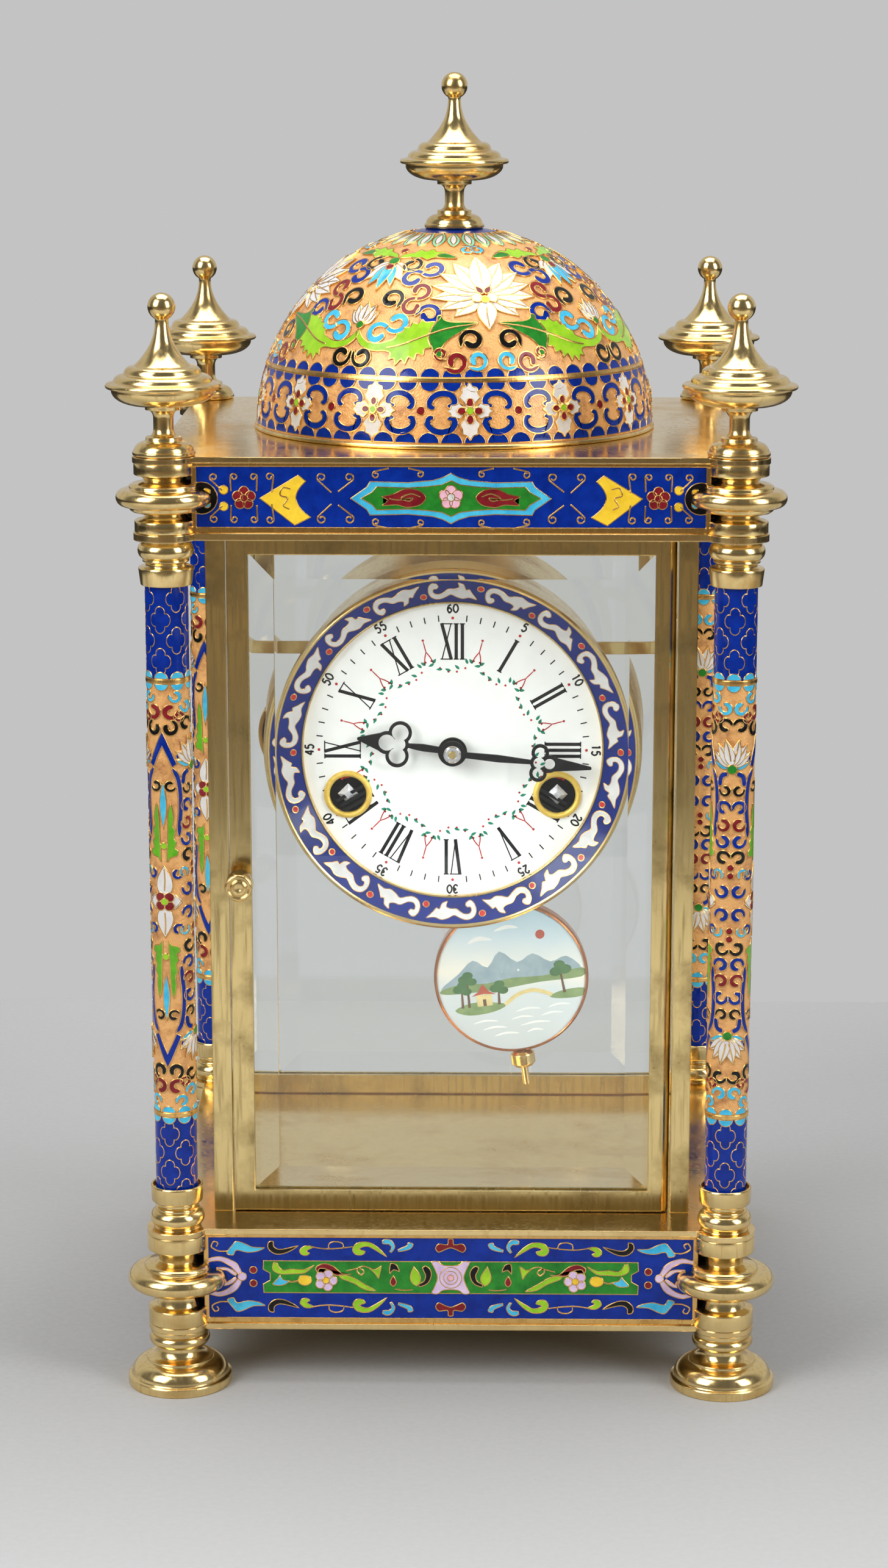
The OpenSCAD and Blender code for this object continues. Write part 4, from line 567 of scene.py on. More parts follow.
def double_curl(paint, r, toward, thick=0.32, turn=330):
    # two spirals joined tail to tail, the second one lying the given way from the first
    path = spiral(r, math.radians(turn), 0)
    path = [p - path[-1] for p in path]
    path += [-p for p in path[-2::-1]]
    width = bulb_end(thick * r)
    made = cell(paint, ribbon(path, lambda t: width(0.9 * min(2 * t, 2 - 2 * t))))
    return placed(made, face=toward - turn)


def mirrored(cells, u=1, v=1):
    return [([Vector((u * p.x, v * p.y)) for p in outline][::u * v], paint, layer)
            for outline, paint, layer in cells]


def placed(cells, u=0.0, v=0.0, face=0.0, flip=1, size=1.0):
    turn, move = Matrix.Rotation(math.radians(face), 2), Vector((u, v))
    return [([move + size * (turn @ p) for p in outline], paint, layer)
            for outline, paint, layer in mirrored(cells, flip)]


def twice(cells):
    # with a mirror image left of the middle
    return cells + mirrored(cells, u=-1)


def upright(cells):
    # with a mirror image below the middle
    return cells + mirrored(cells, v=-1)


def cut(flat, axis, pitch):
    # splits a flat mesh along even lines, so that it can bend
    normal = Vector((1 - axis, axis, 0))
    reach = [v.co[axis] for v in flat.verts]
    for k in range(math.ceil(min(reach) / pitch), math.floor(max(reach) / pitch) + 1):
        whole = flat.verts[:] + flat.edges[:] + flat.faces[:]
        bmesh.ops.bisect_plane(flat, geom=whole, dist=1e-5, plane_co=normal * (k * pitch), plane_no=normal)


def cloisons(cells, band=0.3, lift=0.25, step=0.05, cut_u=0.0, cut_v=0.0, sunk=0.04):
    # one flat mesh of all cells: a wire rim around each sunk field, and sides down to the root
    flat, rimmed = bmesh.new(), []
    for outline, paint, layer in cells:
        face = flat.faces.new([flat.verts.new((p.x, p.y, lift + step * layer)) for p in outline])
        face.material_index = INDEX[paint]
        if band and paint != "wire":
            rimmed.append(face)
    flat.normal_update()
    if rimmed:
        rims = bmesh.ops.inset_individual(flat, faces=rimmed, thickness=band, depth=-sunk,
                                          use_even_offset=True)
        for face in rims["faces"]:
            face.material_index = INDEX["wire"]
    skirt = bmesh.ops.extrude_edge_only(flat, edges=[e for e in flat.edges if e.is_boundary])["geom"]
    for part in skirt:
        if isinstance(part, bmesh.types.BMVert):
            part.co.z = ROOT
        elif isinstance(part, bmesh.types.BMFace) and band:
            part.material_index = INDEX["wire"]
    for axis, pitch in enumerate((cut_u, cut_v)):
        if pitch:
            cut(flat, axis, pitch)
    mesh = bpy.data.meshes.new("cells")
    flat.to_mesh(mesh)
    flat.free()
    return mesh


def laid(name, pairs, body="case"):
    # lays each mesh of cells on its place and joins them into one piece
    whole = bmesh.new()
    for mesh, place in pairs:
        first = len(whole.verts)
        whole.from_mesh(mesh)
        whole.verts.ensure_lookup_table()
        for vert in whole.verts[first:]:
            vert.co = place(*vert.co)
    piece(name, whole, PAINTS.values(), body)


# Dome: a gilded ground with four lotus fields over a band of cross flowers
# in millimetres from the dome's centre and in degrees of azimuth and elevation
DOME_R, DOME_Z, DOME_STEPS = 68.5, extent("dome")[0].z, 128
DOME_RIM_H, CAP_LEVEL = 1.7, 78
FIELDS, LOTUS_AT, LOTUS_LEVEL = 4, 12.4, 45.4
BUD_LEVEL, BELL_LEVEL, BELL_DOT_LEVEL = 34.8, 57.3, 64
LEAF_AT, LEAF_LEVEL, SMALL_LEAF_AT, SMALL_LEAF_LEVEL = 22, 32, 27, 62.8
CROSSES, CROSS_AT, CROSS_LEVEL, CROSS_SIZE = 13, 5.1, 10.6, 1.1
SCALLOPS, SCALLOP_LEVEL, LINE_LEVEL, LINE_HALF, LINE_GAP = 56, 1.7, 19.2, 0.55, 0.6
RAYS, RAY_LEVEL = 28, 66.6


def on_dome(azimuth, elevation):
    a, e = math.radians(azimuth), math.radians(elevation)
    out = Vector((math.cos(e) * math.sin(a), -math.cos(e) * math.cos(a), math.sin(e)))
    east = Vector((math.cos(a), math.sin(a), 0))
    north = out.cross(east)

    def place(u, v, w):
        reach = math.hypot(u, v)
        way = (east * u + north * v) / reach if reach > 1e-9 else east
        turn = reach / DOME_R
        return Vector((0, 0, DOME_Z)) + (out * math.cos(turn) + way * math.sin(turn)) * (DOME_R + w)
    return place


def lotus():
    # petals in pairs from the lowest to the tallest: facing, length, width
    cells = []
    fan = [(127, 14, 6), (107, 16.4, 5.8), (88, 18, 5.8), (70, 17.8, 6), (50, 17.4, 6.4), (27, 17.8, 7.2)]
    for layer, (face, length, width) in enumerate(fan):
        for side in (1, -1):
            cells += placed(ribbed("white", length, width, layer + 0.5 * (side > 0), 1.5), face=side * face)
    cells += placed(ribbed("white", 14.5, 6.8, 6, 2.5), face=180) + ribbed("white", 19, 7.6, 7, 1)
    cells += twice(placed(petal("maroon", 4.6, 2.5, 8.5), 0.3, -0.2, -32) + disc("white", 1.9, 2.6, -1.6, 8))
    return cells + disc("yellow", 1.6, 0, -2.4, 9)


def leaf():
    # a dark stalk half and a light serrated half
    dark = [(-18, 6.4), (-10, 5.6), (-6.6, 6.2), (-5.6, 7.8), (-4, 7.4), (-3.9, 5.2), (-2.6, 2.4), (-2, -1),
            (-3.4, -4.4), (-4.2, -6.4), (-6.2, -7.7), (-7.6, -6.5), (-6.6, -4.8), (-8.6, -1.4), (-13, 2.4)]
    light = [(-3.8, 5.2), (-0.6, 5), (0.6, 6), (2, 4.4), (3.8, 4.8), (4.6, 3.2), (6.6, 3), (6.8, 1.6),
             (9, 0.8), (9.4, -0.7), (11.6, -1.6), (15, -2.2), (19, -1.2), (21.5, 1.4), (22.4, 3.6),
             (23.6, 3.4), (23.6, 1), (21.6, -2.6), (17, -5), (12.6, -5.4), (10.6, -6.4), (11.2, -8.5),
             (9.2, -8.2), (8.6, -10.6), (6.6, -8.6), (5.2, -10.4), (4, -7.8), (2, -9), (1.4, -6.6),
             (-0.8, -7.2), (-1.1, -5), (-3.2, -4.4), (-2, -1), (-2.6, 2.4)]
    rib = curve("wire", [(-17, 5.6), (-8, 2.8), (0, -0.6), (7, -3.4), (12, -4.2)], 0.28, 0.3, 3)
    return blob("green", dark) + blob("lime", light, 1) + rib


def bud():
    cells = []
    for layer, (face, length) in enumerate([(44, 7.6), (-44, 7.6), (24, 8.6), (-24, 8.6), (0, 8.8)]):
        cells += placed(ribbed("white", length, 4.4, layer), face=face)
    return cells + disc("green", 1.5, 0, -0.4, 6)


def bell_flower():
    cells = []
    fan = [(112, 7.8, 4.4, "white"), (138, 10.9, 4.4, "white"), (158, 12.5, 3.9, "turquoise")]
    for layer, (face, length, width, paint) in enumerate(fan):
        for side in (1, -1):
            cells += placed(petal(paint, length, width, 2 * layer + (side > 0)), face=side * face)
    cells += placed(petal("turquoise", 13.6, 4.2, 6), face=180)
    return cells + disc("maroon", 1.7, 0, -2.1, 8) + disc("green", 2.1, 0, 1, 8)


def small_leaf():
    outline = [(-9.4, -1.2), (-4.7, 1.9), (-2.4, 1.4), (-0.7, 3), (1.6, 1.6), (3.5, 2.8), (5.2, 0.9),
               (8.9, 0.2), (10.1, -1.9), (5.9, -2.1), (4.5, -3.5), (2.4, -2.4), (0, -3.8), (-2.4, -2.4)]
    stalk = [(-9.9, -1.4), (-5.9, 0.9), (-3.1, 0), (-2.8, -1.9), (-5.9, -2.4)]
    return blob("lime", outline) + blob("green", stalk, 1)


# colour, azimuth from the lotus, elevation, radius, way the tail points, hand
DOME_CURLS = [("cobalt", 20.5, 38.5, 3.9, -70, -1), ("black", 34, 57, 3.5, 10, -1),
              ("black", 36.2, 43.6, 3.8, -60, 1), ("black", 6.2, 30.6, 3.6, -100, -1),
              ("turquoise", 4.6, 24.6, 3.1, 30, 1), ("maroon", 11.2, 24.2, 3.4, 40, 1),
              ("black", 41.2, 25, 3.5, 100, 1), ("turquoise", 3.6, 65, 2.4, 0, -1),
              ("maroon", 16, 26.5, 2.2, 160, -1)]
# colour, azimuth, elevation, radius and facing of the curls in pairs
DOME_DOUBLES = [("maroon", 26.5, 43.9, 3.5, -76), ("cobalt", 26.6, 53.6, 3.9, -42),
                ("turquoise", 34.6, 34.1, 3.8, -36)]


def cross_flower():
    side = [(1.8, 2.4), (3.1, 3.9), (2.5, 5.4), (2.3, 7.0), (1.0, 7.5)]
    arm = smooth([(0, 8.8)] + [(-x, y) for x, y in side[::-1]] + [(-1, 0.4), (1, 0.4)] + side)
    cells = []
    for k in range(4):
        cells += placed(cell("white", arm, k), face=90 * k, size=0.8 if k % 2 else 1)
        cells += placed(disc("maroon", 1.2, 0, 2.5, 5 + k, tall=1.2), face=90 * k)
    return cells + disc("lime", 1.3, layer=10)


def band_scrolls():
    upper = [(7.6, 1.9), (5.9, 1.8), (5, 3.4), (6.2, 5.2), (8.7, 5.9), (11.3, 5.3), (13.1, 3.6), (12.9, 1.6),
             (11.3, 1.2)]
    lower = [(7.6, -2.5), (5.9, -2.4), (5, -4), (6.4, -6), (9.2, -6.8), (12, -6.2), (13.9, -4.4),
             (13.5, -2.3), (11.8, -2)]
    return twice(stroke("cobalt", upper, 1.2) + stroke("cobalt", lower, 1.2))


def bent(cells):
    return cloisons(cells, band=0.34, lift=0.42, step=0.06, cut_u=4, cut_v=4)


def lotus_field(axis):
    edge = axis + 180 / FIELDS
    lay = [(bent(lotus()), on_dome(axis, LOTUS_LEVEL)), (bent(bud()), on_dome(edge, BUD_LEVEL)),
           (bent(bell_flower()), on_dome(edge, BELL_LEVEL)),
           (bent(disc("maroon", 1.4)), on_dome(edge, BELL_DOT_LEVEL))]
    sprays = [(leaf(), LEAF_AT, LEAF_LEVEL), (small_leaf(), SMALL_LEAF_AT, SMALL_LEAF_LEVEL)]
    sprays += [(curl(paint, r, toward, hand), azimuth, elevation)
               for paint, azimuth, elevation, r, toward, hand in DOME_CURLS]
    sprays += [(double_curl(paint, r, toward), azimuth, elevation)
               for paint, azimuth, elevation, r, toward in DOME_DOUBLES]
    for side in (1, -1):
        for cells, azimuth, elevation in sprays:
            lay.append((bent(mirrored(cells, side)), on_dome(axis + side * azimuth, elevation)))
    return lay


def dome_band():
    # cross flowers with scrolls between two rows of scallops and a row along the foot
    flower = placed(cross_flower(), size=CROSS_SIZE)
    flower = cloisons(flower, band=0.36, lift=0.3, step=0.06, cut_u=4, cut_v=4)
    dot = cloisons(disc("maroon", 1.6))
    scrolls = cloisons(band_scrolls(), band=0.32, lift=0.3, cut_u=3, cut_v=3)
    over, under, foot = (cloisons(half_disc("cobalt", r, up), band=0.28, cut_u=3)
                         for r, up in ((3.35, 1), (3.35, -1), (3.7, 1)))
    lay = []
    for k in range(CROSSES):
        azimuth = CROSS_AT + 360 * k / CROSSES
        lay += [(flower, on_dome(azimuth, CROSS_LEVEL)), (scrolls, on_dome(azimuth, CROSS_LEVEL)),
                (dot, on_dome(azimuth + 180 / CROSSES, CROSS_LEVEL))]
    for k in range(SCALLOPS):
        azimuth = 360 * k / SCALLOPS
        lay += [(over, on_dome(azimuth, LINE_LEVEL + LINE_GAP)),
                (under, on_dome(azimuth, LINE_LEVEL - LINE_GAP)), (foot, on_dome(azimuth, SCALLOP_LEVEL))]
    return lay


def dome_rays():
    # a ring of pointed petals under the cap
    petals = petal("mint", 13.2, 4.7, point=0.8) + petal("white", 11.4, 2.4, 2, 1.6, 0.8)
    ray = cloisons(petals, band=0.34, lift=0.3, cut_v=4)
    return [(ray, on_dome(360 * k / RAYS, RAY_LEVEL)) for k in range(RAYS)]


def dome_arc(first, last, lift, steps):
    # a stretch of the dome's profile between two elevations
    turns = [math.radians(first + (last - first) * i / steps) for i in range(steps + 1)]
    return [((DOME_R + lift) * math.cos(t), (DOME_R + lift) * math.sin(t)) for t in turns]


def dome():
    inside = [(0, 65), (40, 40), (66, 0.1)]
    outside = [(66.5, 0)] + bead(69.4, 0, 1.6, 0.7) + dome_arc(1.4, 81.8, 0, 40) + [(0, 67.8)]
    shell = lathe(outside + inside, DOME_STEPS, at(0, 0, DOME_Z))
    cap = DOME_R * math.sin(math.radians(CAP_LEVEL))
    for face in shell.faces:
        height = face.calc_center_median().z - DOME_Z
        face.material_index = 0 if height < DOME_RIM_H else 2 if height > cap else 1
    piece("dome_shell", shell, [gilt, gilding, cobalt], replaces=["dome"])
    lay = dome_band() + dome_rays()
    for field in range(FIELDS):
        lay += lotus_field(LOTUS_AT + 360 / FIELDS * field)
    laid("dome_cloisonne", lay)
    low, high = LINE_LEVEL - LINE_HALF, LINE_LEVEL + LINE_HALF
    line = dome_arc(low, high, 0.45, 1) + dome_arc(high, low, -0.1, 1)
    piece("dome_line", lathe(line + line[:1], DOME_STEPS, at(0, 0, DOME_Z)), [wire])


dome()


# Column tubes: blue ends with quatrefoils, a gilded middle with two alternating faces
# drawings in millimetres up from the middle of the gilded field, a little under the tube's own middle
FIELD_DROP, TUBE_FIELD = 2.5, 74.35
TUBE_MID = (TUBES_LOW.z + TUBES_HIGH.z) / 2 - FIELD_DROP
TUBE_CUT, TUBE_RINGS, LEFT_TURN, RIGHT_TURN = 1.2, 72, -14, 84
FOIL_ROWS, FOIL_FIRST, FOIL_PITCH, DOTS_ROUND, BAND_HALF = 4, 6.6, 6.9, 8, 0.75


def on_tube(column, azimuth, z):
    def place(u, v, w):
        a = math.radians(azimuth) + u / TUBE_R
        return Vector((column[0] + (TUBE_R + w) * math.sin(a), column[1] - (TUBE_R + w) * math.cos(a), z + v))
    return place


def quatrefoil():
    lobes = [(TAU * i / 40, 2.5 + 1.1 * abs(math.cos(TAU * i / 20)) ** 0.7) for i in range(40)]
    return cell("cobalt", [(r * math.cos(a), 1.28 * r * math.sin(a)) for a, r in lobes])


# colour, place across, place up, radius, way the tail points and hand of the curls on both faces
CHEVRON_CURLS = [("cobalt", 6.2, 49.4, 1.6, 60, 1), ("black", 2.4, 39.4, 1.8, 60, 1),
                 ("black", 2.7, 58.8, 2.4, 150, 1), ("maroon", 2.9, 64.4, 2.5, 80, 1),
                 ("turquoise", 4.8, 69.4, 2, 90, -1), ("cobalt", 4.4, 9.6, 1.9, 110, 1)]
LOTUS_CURLS = [("cobalt", 2.7, 4.2, 2.3, 90, 1), ("turquoise", 4.4, 9.8, 1.8, -60, 1),
               ("black", 2.6, 15.4, 2.3, 250, 1), ("cobalt", 2.7, 21.2, 2.3, 90, 1),
               ("maroon", 2.6, 26.8, 2.2, 80, 1), ("cobalt", 2.7, 32.4, 2.3, 270, 1),
               ("black", 2.2, 38.4, 1.9, 90, 1), ("black", 2.6, 60, 2.3, 250, 1),
               ("turquoise", 2.5, 66, 2.2, 90, 1), ("maroon", 5.0, 62.8, 1.8, 80, 1)]


def tube_curls(rows):
    cells = []
    for paint, u, v, r, toward, hand in rows:
        cells += placed(curl(paint, r, toward, hand, thick=0.4, turn=300, tail=0.4), u, v)
    return twice(cells)


def chevron_face():
    # upper half of the face with the white flower
    serrated = [(0.9, 13.4), (2.2, 15), (4.4, 15.4), (4.9, 17.4), (3.8, 18.2), (4.4, 20.4), (3.5, 21.6),
                (4.0, 24.2), (3.2, 25.8), (3.5, 28.6), (2.6, 33.6), (1.5, 30), (1.2, 21)]
    chevron = [(0, 58), (1.7, 54.4), (4.9, 46.6), (3.1, 45.4), (1.5, 49.2), (0, 52.4)]
    stem = [(3.2, 45.4), (5, 42), (5.8, 37), (5.9, 31), (5.4, 26), (5.2, 22)]
    cells = ribbed("white", 12.6, 5.8, 2, 1.2) + disc("lime", 1.3, 0, 19)
    cells += cell("cobalt", chevron + [(-u, v) for u, v in chevron[-2:0:-1]])
    side = placed(petal("white", 6, 4.8, 1, 1.2), face=-84)
    side += placed(disc("maroon", 1.75, 0, 2.1, 3), face=-45)
    side += blob("leaf", serrated, per=2) + stroke("cobalt", stem, 0.95)
    cells += twice(side)
    return cells + tube_curls(CHEVRON_CURLS) + petal("turquoise", 41.4, 2.5, 0, 24.5, 1.0)


def lotus_face():
    # upper half of the face with the lotus
    cells, level = [], 46.4
    for layer, (face, length) in enumerate([(76, 7.2), (54, 8.6), (33, 9.4), (13, 9.8)]):
        paint = "white" if layer else "turquoise"
        for side in (1, -1):
            cells += placed(ribbed(paint, length, 3.6, 2 * layer + (side > 0)), 0, level, side * face)
    cells += tube_curls(LOTUS_CURLS) + twice(stroke("cobalt", [(1.4, 44.2), (3.6, 43), (4.2, 39.6)], 1.0))
    return cells + disc("green", 1.7, 0, 45.6, 9) + disc("maroon", 1.3, 0, 9.4) + disc("maroon", 1.3, 0, 12.2)


def sleeves():
    tall = TUBES_HIGH.z - TUBES_LOW.z
    levels = [TUBES_LOW.z + tall * i / TUBE_RINGS for i in range(TUBE_RINGS + 1)]
    sleeve = lathe([(0, levels[0])] + [(TUBE_R, z) for z in levels] + [(0, levels[-1])])
    for level in (-1, 1):
        whole = sleeve.verts[:] + sleeve.edges[:] + sleeve.faces[:]
        line = (0, 0, TUBE_MID + level * TUBE_FIELD)
        bmesh.ops.bisect_plane(sleeve, geom=whole, plane_co=line, plane_no=(0, 0, 1))
    for face in sleeve.faces:
        face.material_index = int(abs(face.calc_center_median().z - TUBE_MID) > TUBE_FIELD)
    made = repeated(sleeve, corners(0))
    piece("column_sleeves", made, [gilding, cobalt], replaces=["column_tubes"])


def tubes():
    sleeves()
    faces = [cloisons(upright(cells), band=0.28, cut_u=TUBE_CUT) for cells in (chevron_face(), lotus_face())]
    heart = cloisons(disc("lime", 1.3, layer=5), band=0.25, cut_u=TUBE_CUT)
    dots = {up: cloisons(half_disc("turquoise", 2.5, up), band=0.28, lift=0.2, cut_u=TUBE_CUT)
            for up in (1, -1)}
    foil = cloisons(quatrefoil(), lift=0.08, cut_u=TUBE_CUT)
    lay = []
    for column in COLUMNS:
        turn = LEFT_TURN if column[0] < 0 else RIGHT_TURN
        for k in range(4):
            lay.append((faces[k % 2], on_tube(column, turn + 90 * k, TUBE_MID)))
            if k % 2 == 0:
                lay.append((heart, on_tube(column, turn + 90 * k, TUBE_MID)))
        for level in (-1, 1):
            line = TUBE_MID + level * TUBE_FIELD
            lay += [(dots[up], on_tube(column, turn + 360 / DOTS_ROUND * k, line + BAND_HALF * up))
                    for k in range(DOTS_ROUND) for up in (1, -1)]
            for row in range(FOIL_ROWS):
                height, offset = line + level * (FOIL_FIRST + FOIL_PITCH * row), turn + 45 * (row % 2)
                lay += [(foil, on_tube(column, offset + 90 * k, height)) for k in range(4)]
    laid("column_cloisonne", lay)
    inner, outer = TUBE_R - 0.2, TUBE_R + 0.35
    ring = [(inner, -BAND_HALF), (outer, -BAND_HALF), (outer, BAND_HALF), (inner, BAND_HALF)]
    bands = [m for level in (-1, 1) for m in corners(TUBE_MID + level * TUBE_FIELD)]
    piece("column_bands", repeated(lathe(ring + ring[:1]), bands), [wire])


tubes()


# Panels of base and frieze: one drawing for front and back, narrowed for the sides
SIDE_SHARE, PANEL_STOP = 0.885, 12
FOOT_STRIP, HEAD_STRIP, END_STRIP, STRIP_LAYER = 2, 1.2, 1.6, 5
BASE_MIDDLE, FRIEZE_MIDDLE = 0.52, 0.5


def panel_places(name, z):
    low, high = extent(name)
    return [lambda u, v, w: Vector((u, low.y - w, z + v)), lambda u, v, w: Vector((-u, high.y + w, z + v)),
            lambda u, v, w: Vector((high.x + w, SIDE_SHARE * u, z + v)),
            lambda u, v, w: Vector((low.x - w, -SIDE_SHARE * u, z + v))]


def blossom(paint, petals, reach, r, centre, layer=0):
    # round petals about a middle
    cells = []
    for k in range(petals):
        cells += placed(disc(paint, r, 0, reach, layer + 0.3 * k), face=360 / petals * k)
    return cells + disc(centre, 0.75 * r, layer=layer + 2)


def all_round(points):
    # an outline drawn from the middle of the right side up to the top, mirrored into the other three quarters
    half = points + [(-x, y) for x, y in points[::-1] if x]
    return half + [(x, -y) for x, y in half[::-1] if y]


def base_field():
    # the green field, drawn to the right of its rose
    half = comma("black", [(9.2, 4), (7.6, 1.4), (8.4, -1.6), (11, -3)], 1.5, 2, 0.4)
    half += placed(petal("lime", 7.4, 3.8, 3), 11.6, -3.2, -8)
    half += placed(petal("maroon", 4.2, 2.4, 4), 19.6, -3.4)
    half += blob("black", [(18.4, 4.6), (20.6, 5), (20.9, 1.2), (19.4, 2.6), (17.4, 2)], 2)
    half += curve("wire", [(13, -4.4), (16, -4.6), (19, -4.2)], 0.22, 0.2, 2)
    half += blob("lime", [(23.6, 4.2), (25.6, 3), (28, 3.4), (26, 1.4), (24.6, -0.6), (24, 1.6)], 2)
    half += curve("wire", [(27.4, 3.2), (30, 4), (32, 2.4), (30.6, 0.8), (29.6, 2), (31.4, 3.2), (35.6, 2.2)],
                  0.24, 0.2, 3)
    half += blob("maroon", [(33.6, 1.2), (37, 1.4), (40, 4), (43.4, 5), (46.2, 3.4), (45.4, 1.4), (44.6, 3),
                            (41.6, 2.4), (39, 0.4)], 2)
    half += blob("lime", [(25.4, -4.9), (29.4, -4.6), (33, -2.4), (37.4, -0.6), (38, 1), (34, 0.4),
                          (30.4, -1.8)], 2)
    half += placed(blossom("lilac", 5, 2.3, 1.75, "yellow", 4), 42.6, -1.2, 20)
    half += disc("yellow", 2.5, 49.8, -1.2, 3, tall=0.8)
    half += curve("wire", [(52.2, -1.4), (54, -1.8), (55.4, -1.6)], 0.3, 0.2, 3)
    half += blob("turquoise", [(55, -1.6), (57.4, -0.8), (58.2, 0.6), (59.4, -0.8), (61, -2.8),
                               (57.6, -3.2)], 2)
    half += blob("lime", [(46.4, 4.4), (50, 2.8), (54, 3), (57.6, 2.6), (59.2, 5), (60.6, 5), (60.8, 2.4),
                          (58.2, 0.9), (53.6, 1), (49.6, 1.4)], 2)
    rose = smooth(all_round([(4.6, 0), (5.6, 3.2), (6.6, 5.6), (4.4, 6), (2.4, 4.6)]))
    heart = disc("lilac", 3.9, layer=7, steps=20) + disc("lilac", 2.5, layer=9) + disc("rose", 1.2, layer=11)
    field = cell("green", all_round([(61.8, 1.2), (64.2, 2.6), (64, 5.9)]))
    return field + twice(half) + cell("lilac", rose, 5) + heart


def base_border():
    # the blue border around the field, drawn for its upper right quarter
    edge = blob("maroon", [(-0.9, 13.9), (-1.2, 12), (-4, 12.3), (-5.3, 10.6), (-4.2, 9), (-2.2, 9.8),
                           (0, 10.6), (2.2, 9.8), (4.2, 9), (5.3, 10.6), (4, 12.3), (1.2, 12), (0.9, 13.9)])
    side = comma("turquoise", [(13.6, 12.6), (14.2, 11), (16.6, 10), (18, 9.6)], 1.2)
    side += comma("turquoise", [(23.4, 12.6), (21, 12.8), (19.6, 11), (20.6, 9)], 1.2, head=0.35)
    side += blob("lime", [(21.6, 7.2), (24.4, 10.6), (28, 12.8), (32, 12.4), (33.6, 10), (32.4, 8), (30, 8),
                          (29, 9.4), (31, 10.2), (28.4, 11), (25.6, 9.6)])
    side += curve("wire", [(33.4, 11), (38, 10.4), (43, 10.2), (48, 11)], 0.22, 0.2)
    side += curve("wire", [(36.4, 10.4), (37, 12.2), (39.4, 12.8), (41.4, 12), (41.6, 10.2)], 0.22, 0.2)
    side += blob("lime", [(46.6, 10.8), (49.4, 11.4), (51.6, 9.8), (51, 8), (49.2, 7.6), (48, 8.6),
                          (49, 9.4)])
    side += blob("black", [(60.4, 12.9), (62.2, 12.5), (62.4, 10.2), (60.2, 8.2), (57, 8.2), (53.6, 9.8),
                           (51.8, 11.4), (55, 10.6), (58.4, 10), (60.2, 11)])
    side += blob("turquoise", [(63.4, 10.6), (67.4, 10.8), (71, 12.4), (73.2, 12.8), (74.6, 11.4),
                               (76.6, 8.4), (74.2, 7.6), (73, 9.4), (69.4, 8.6), (65.4, 9.2)])
    side += curve("wire", [(76, 9.2), (79, 9.2), (81.6, 10.6), (80.8, 12.6), (79.4, 12), (80, 10.8)],
                  0.24, 0.2)
    side += comma("lilac", [(71.6, 0.6), (74.4, 4.4), (79, 6.4), (83.8, 5.4)], 1.5, head=0.5)
    side += comma("lilac", [(73.2, 0.4), (76.2, 2.6), (80, 3)], 0.9, head=0.5)
    side += disc("maroon", 1.4, 67.4, 2.4)
    return upright(edge + twice(side)) + twice(disc("lilac", 1.6, 71.2, 0, 2))


# place, radius, way the end runs and hand of the wire tendrils along the top panel
PANEL_TENDRILS = [(10, 7.9, 1.1, 0, -1), (24.4, 7.7, 1.2, 180, 1), (33, 6.8, 1.5, -25, 1),
                  (42, 6.8, 1.5, -150, -1), (58.8, 7, 1.3, -70, 1), (64, 6.9, 1.2, -75, 1),
                  (70.4, 6.9, 1.2, -105, -1), (77, 6.8, 1.3, -150, -1)]


def tendril(r, toward, hand, half=0.26, turn=400):
    # a fine wire that ends in a spiral
    path = spiral(r, math.radians(turn), 3.6 * r)
    return placed(cell("wire", ribbon(path, lambda t: half)), face=toward - hand * turn - 90, flip=hand)


def top_panel():
    outer = [(32.8, 0), (27.4, 3.8), (26.4, 5.6), (14, 5.3), (6, 6), (2.6, 7), (0, 8.4)]
    inner = [(29.4, 0), (25.6, 2.2), (24.2, 3.9), (14, 3.6), (8, 4), (3, 4.6), (0, 6)]
    cells = cell("turquoise", all_round(outer)) + cell("green", all_round(inner), 2)
    half = blob("maroon", [(8, 0.4), (10.6, 2.8), (15, 3.2), (18.6, 1.6), (22.6, 0.6), (20.6, -0.6),
                           (22.4, -2.4), (17.6, -2.2), (14.4, -3), (10, -2.2)], 4)
    half += curve("wire", [(10, 0.6), (13, 1.6), (16, 0.2), (13.6, -0.8), (12.6, 0.2), (17, -0.4), (20, 0)],
                  0.24, 0.2, 6)
    hollow = smooth([(46.9, 5.6), (49.2, 3), (50.2, 0), (48.6, -3.4), (45.3, -6.2)], False)
    half += cell("yellow", [(62.3, 0), (49.5, 7.7)] + hollow + [(50.8, -9)])
    half += curve("wire", [(52, 3), (54.6, 3.4), (55.4, 1), (53, 0), (54.4, -2.4), (52.4, -3.6)],
                  0.22, 0.2, 2)
    half += placed(blossom("maroon", 5, 2.2, 1.8, "maroon"), 67.2, 0) + disc("black", 5.4, 81, 0, 0, 20)
    half += disc("yellow", 1.3, 79.2, 2, 2) + disc("turquoise", 1.3, 79.2, -2, 2)
    both = disc("yellow", 1.6, 73.8, 2.7)
    for u, v, r, toward, hand in PANEL_TENDRILS:
        both += placed(tendril(r, toward, hand), u, v)
    return cells + twice(half + upright(both)) + placed(blossom("rose", 5, 2.2, 1.9, "white", 5), 0, 0.4)


def edging(half, foot, top):
    # brass strips along the four edges of a panel
    def strip(u0, u1, v0, v1, layer):
        return cell("wire", [(u0, v0), (u1, v0), (u1, v1), (u0, v1)], layer)
    runs = strip(-half, half, foot, foot + FOOT_STRIP, STRIP_LAYER)
    runs += strip(-half, half, top - HEAD_STRIP, top, STRIP_LAYER)
    return runs + twice(strip(half - END_STRIP, half, foot, top, STRIP_LAYER + 1))


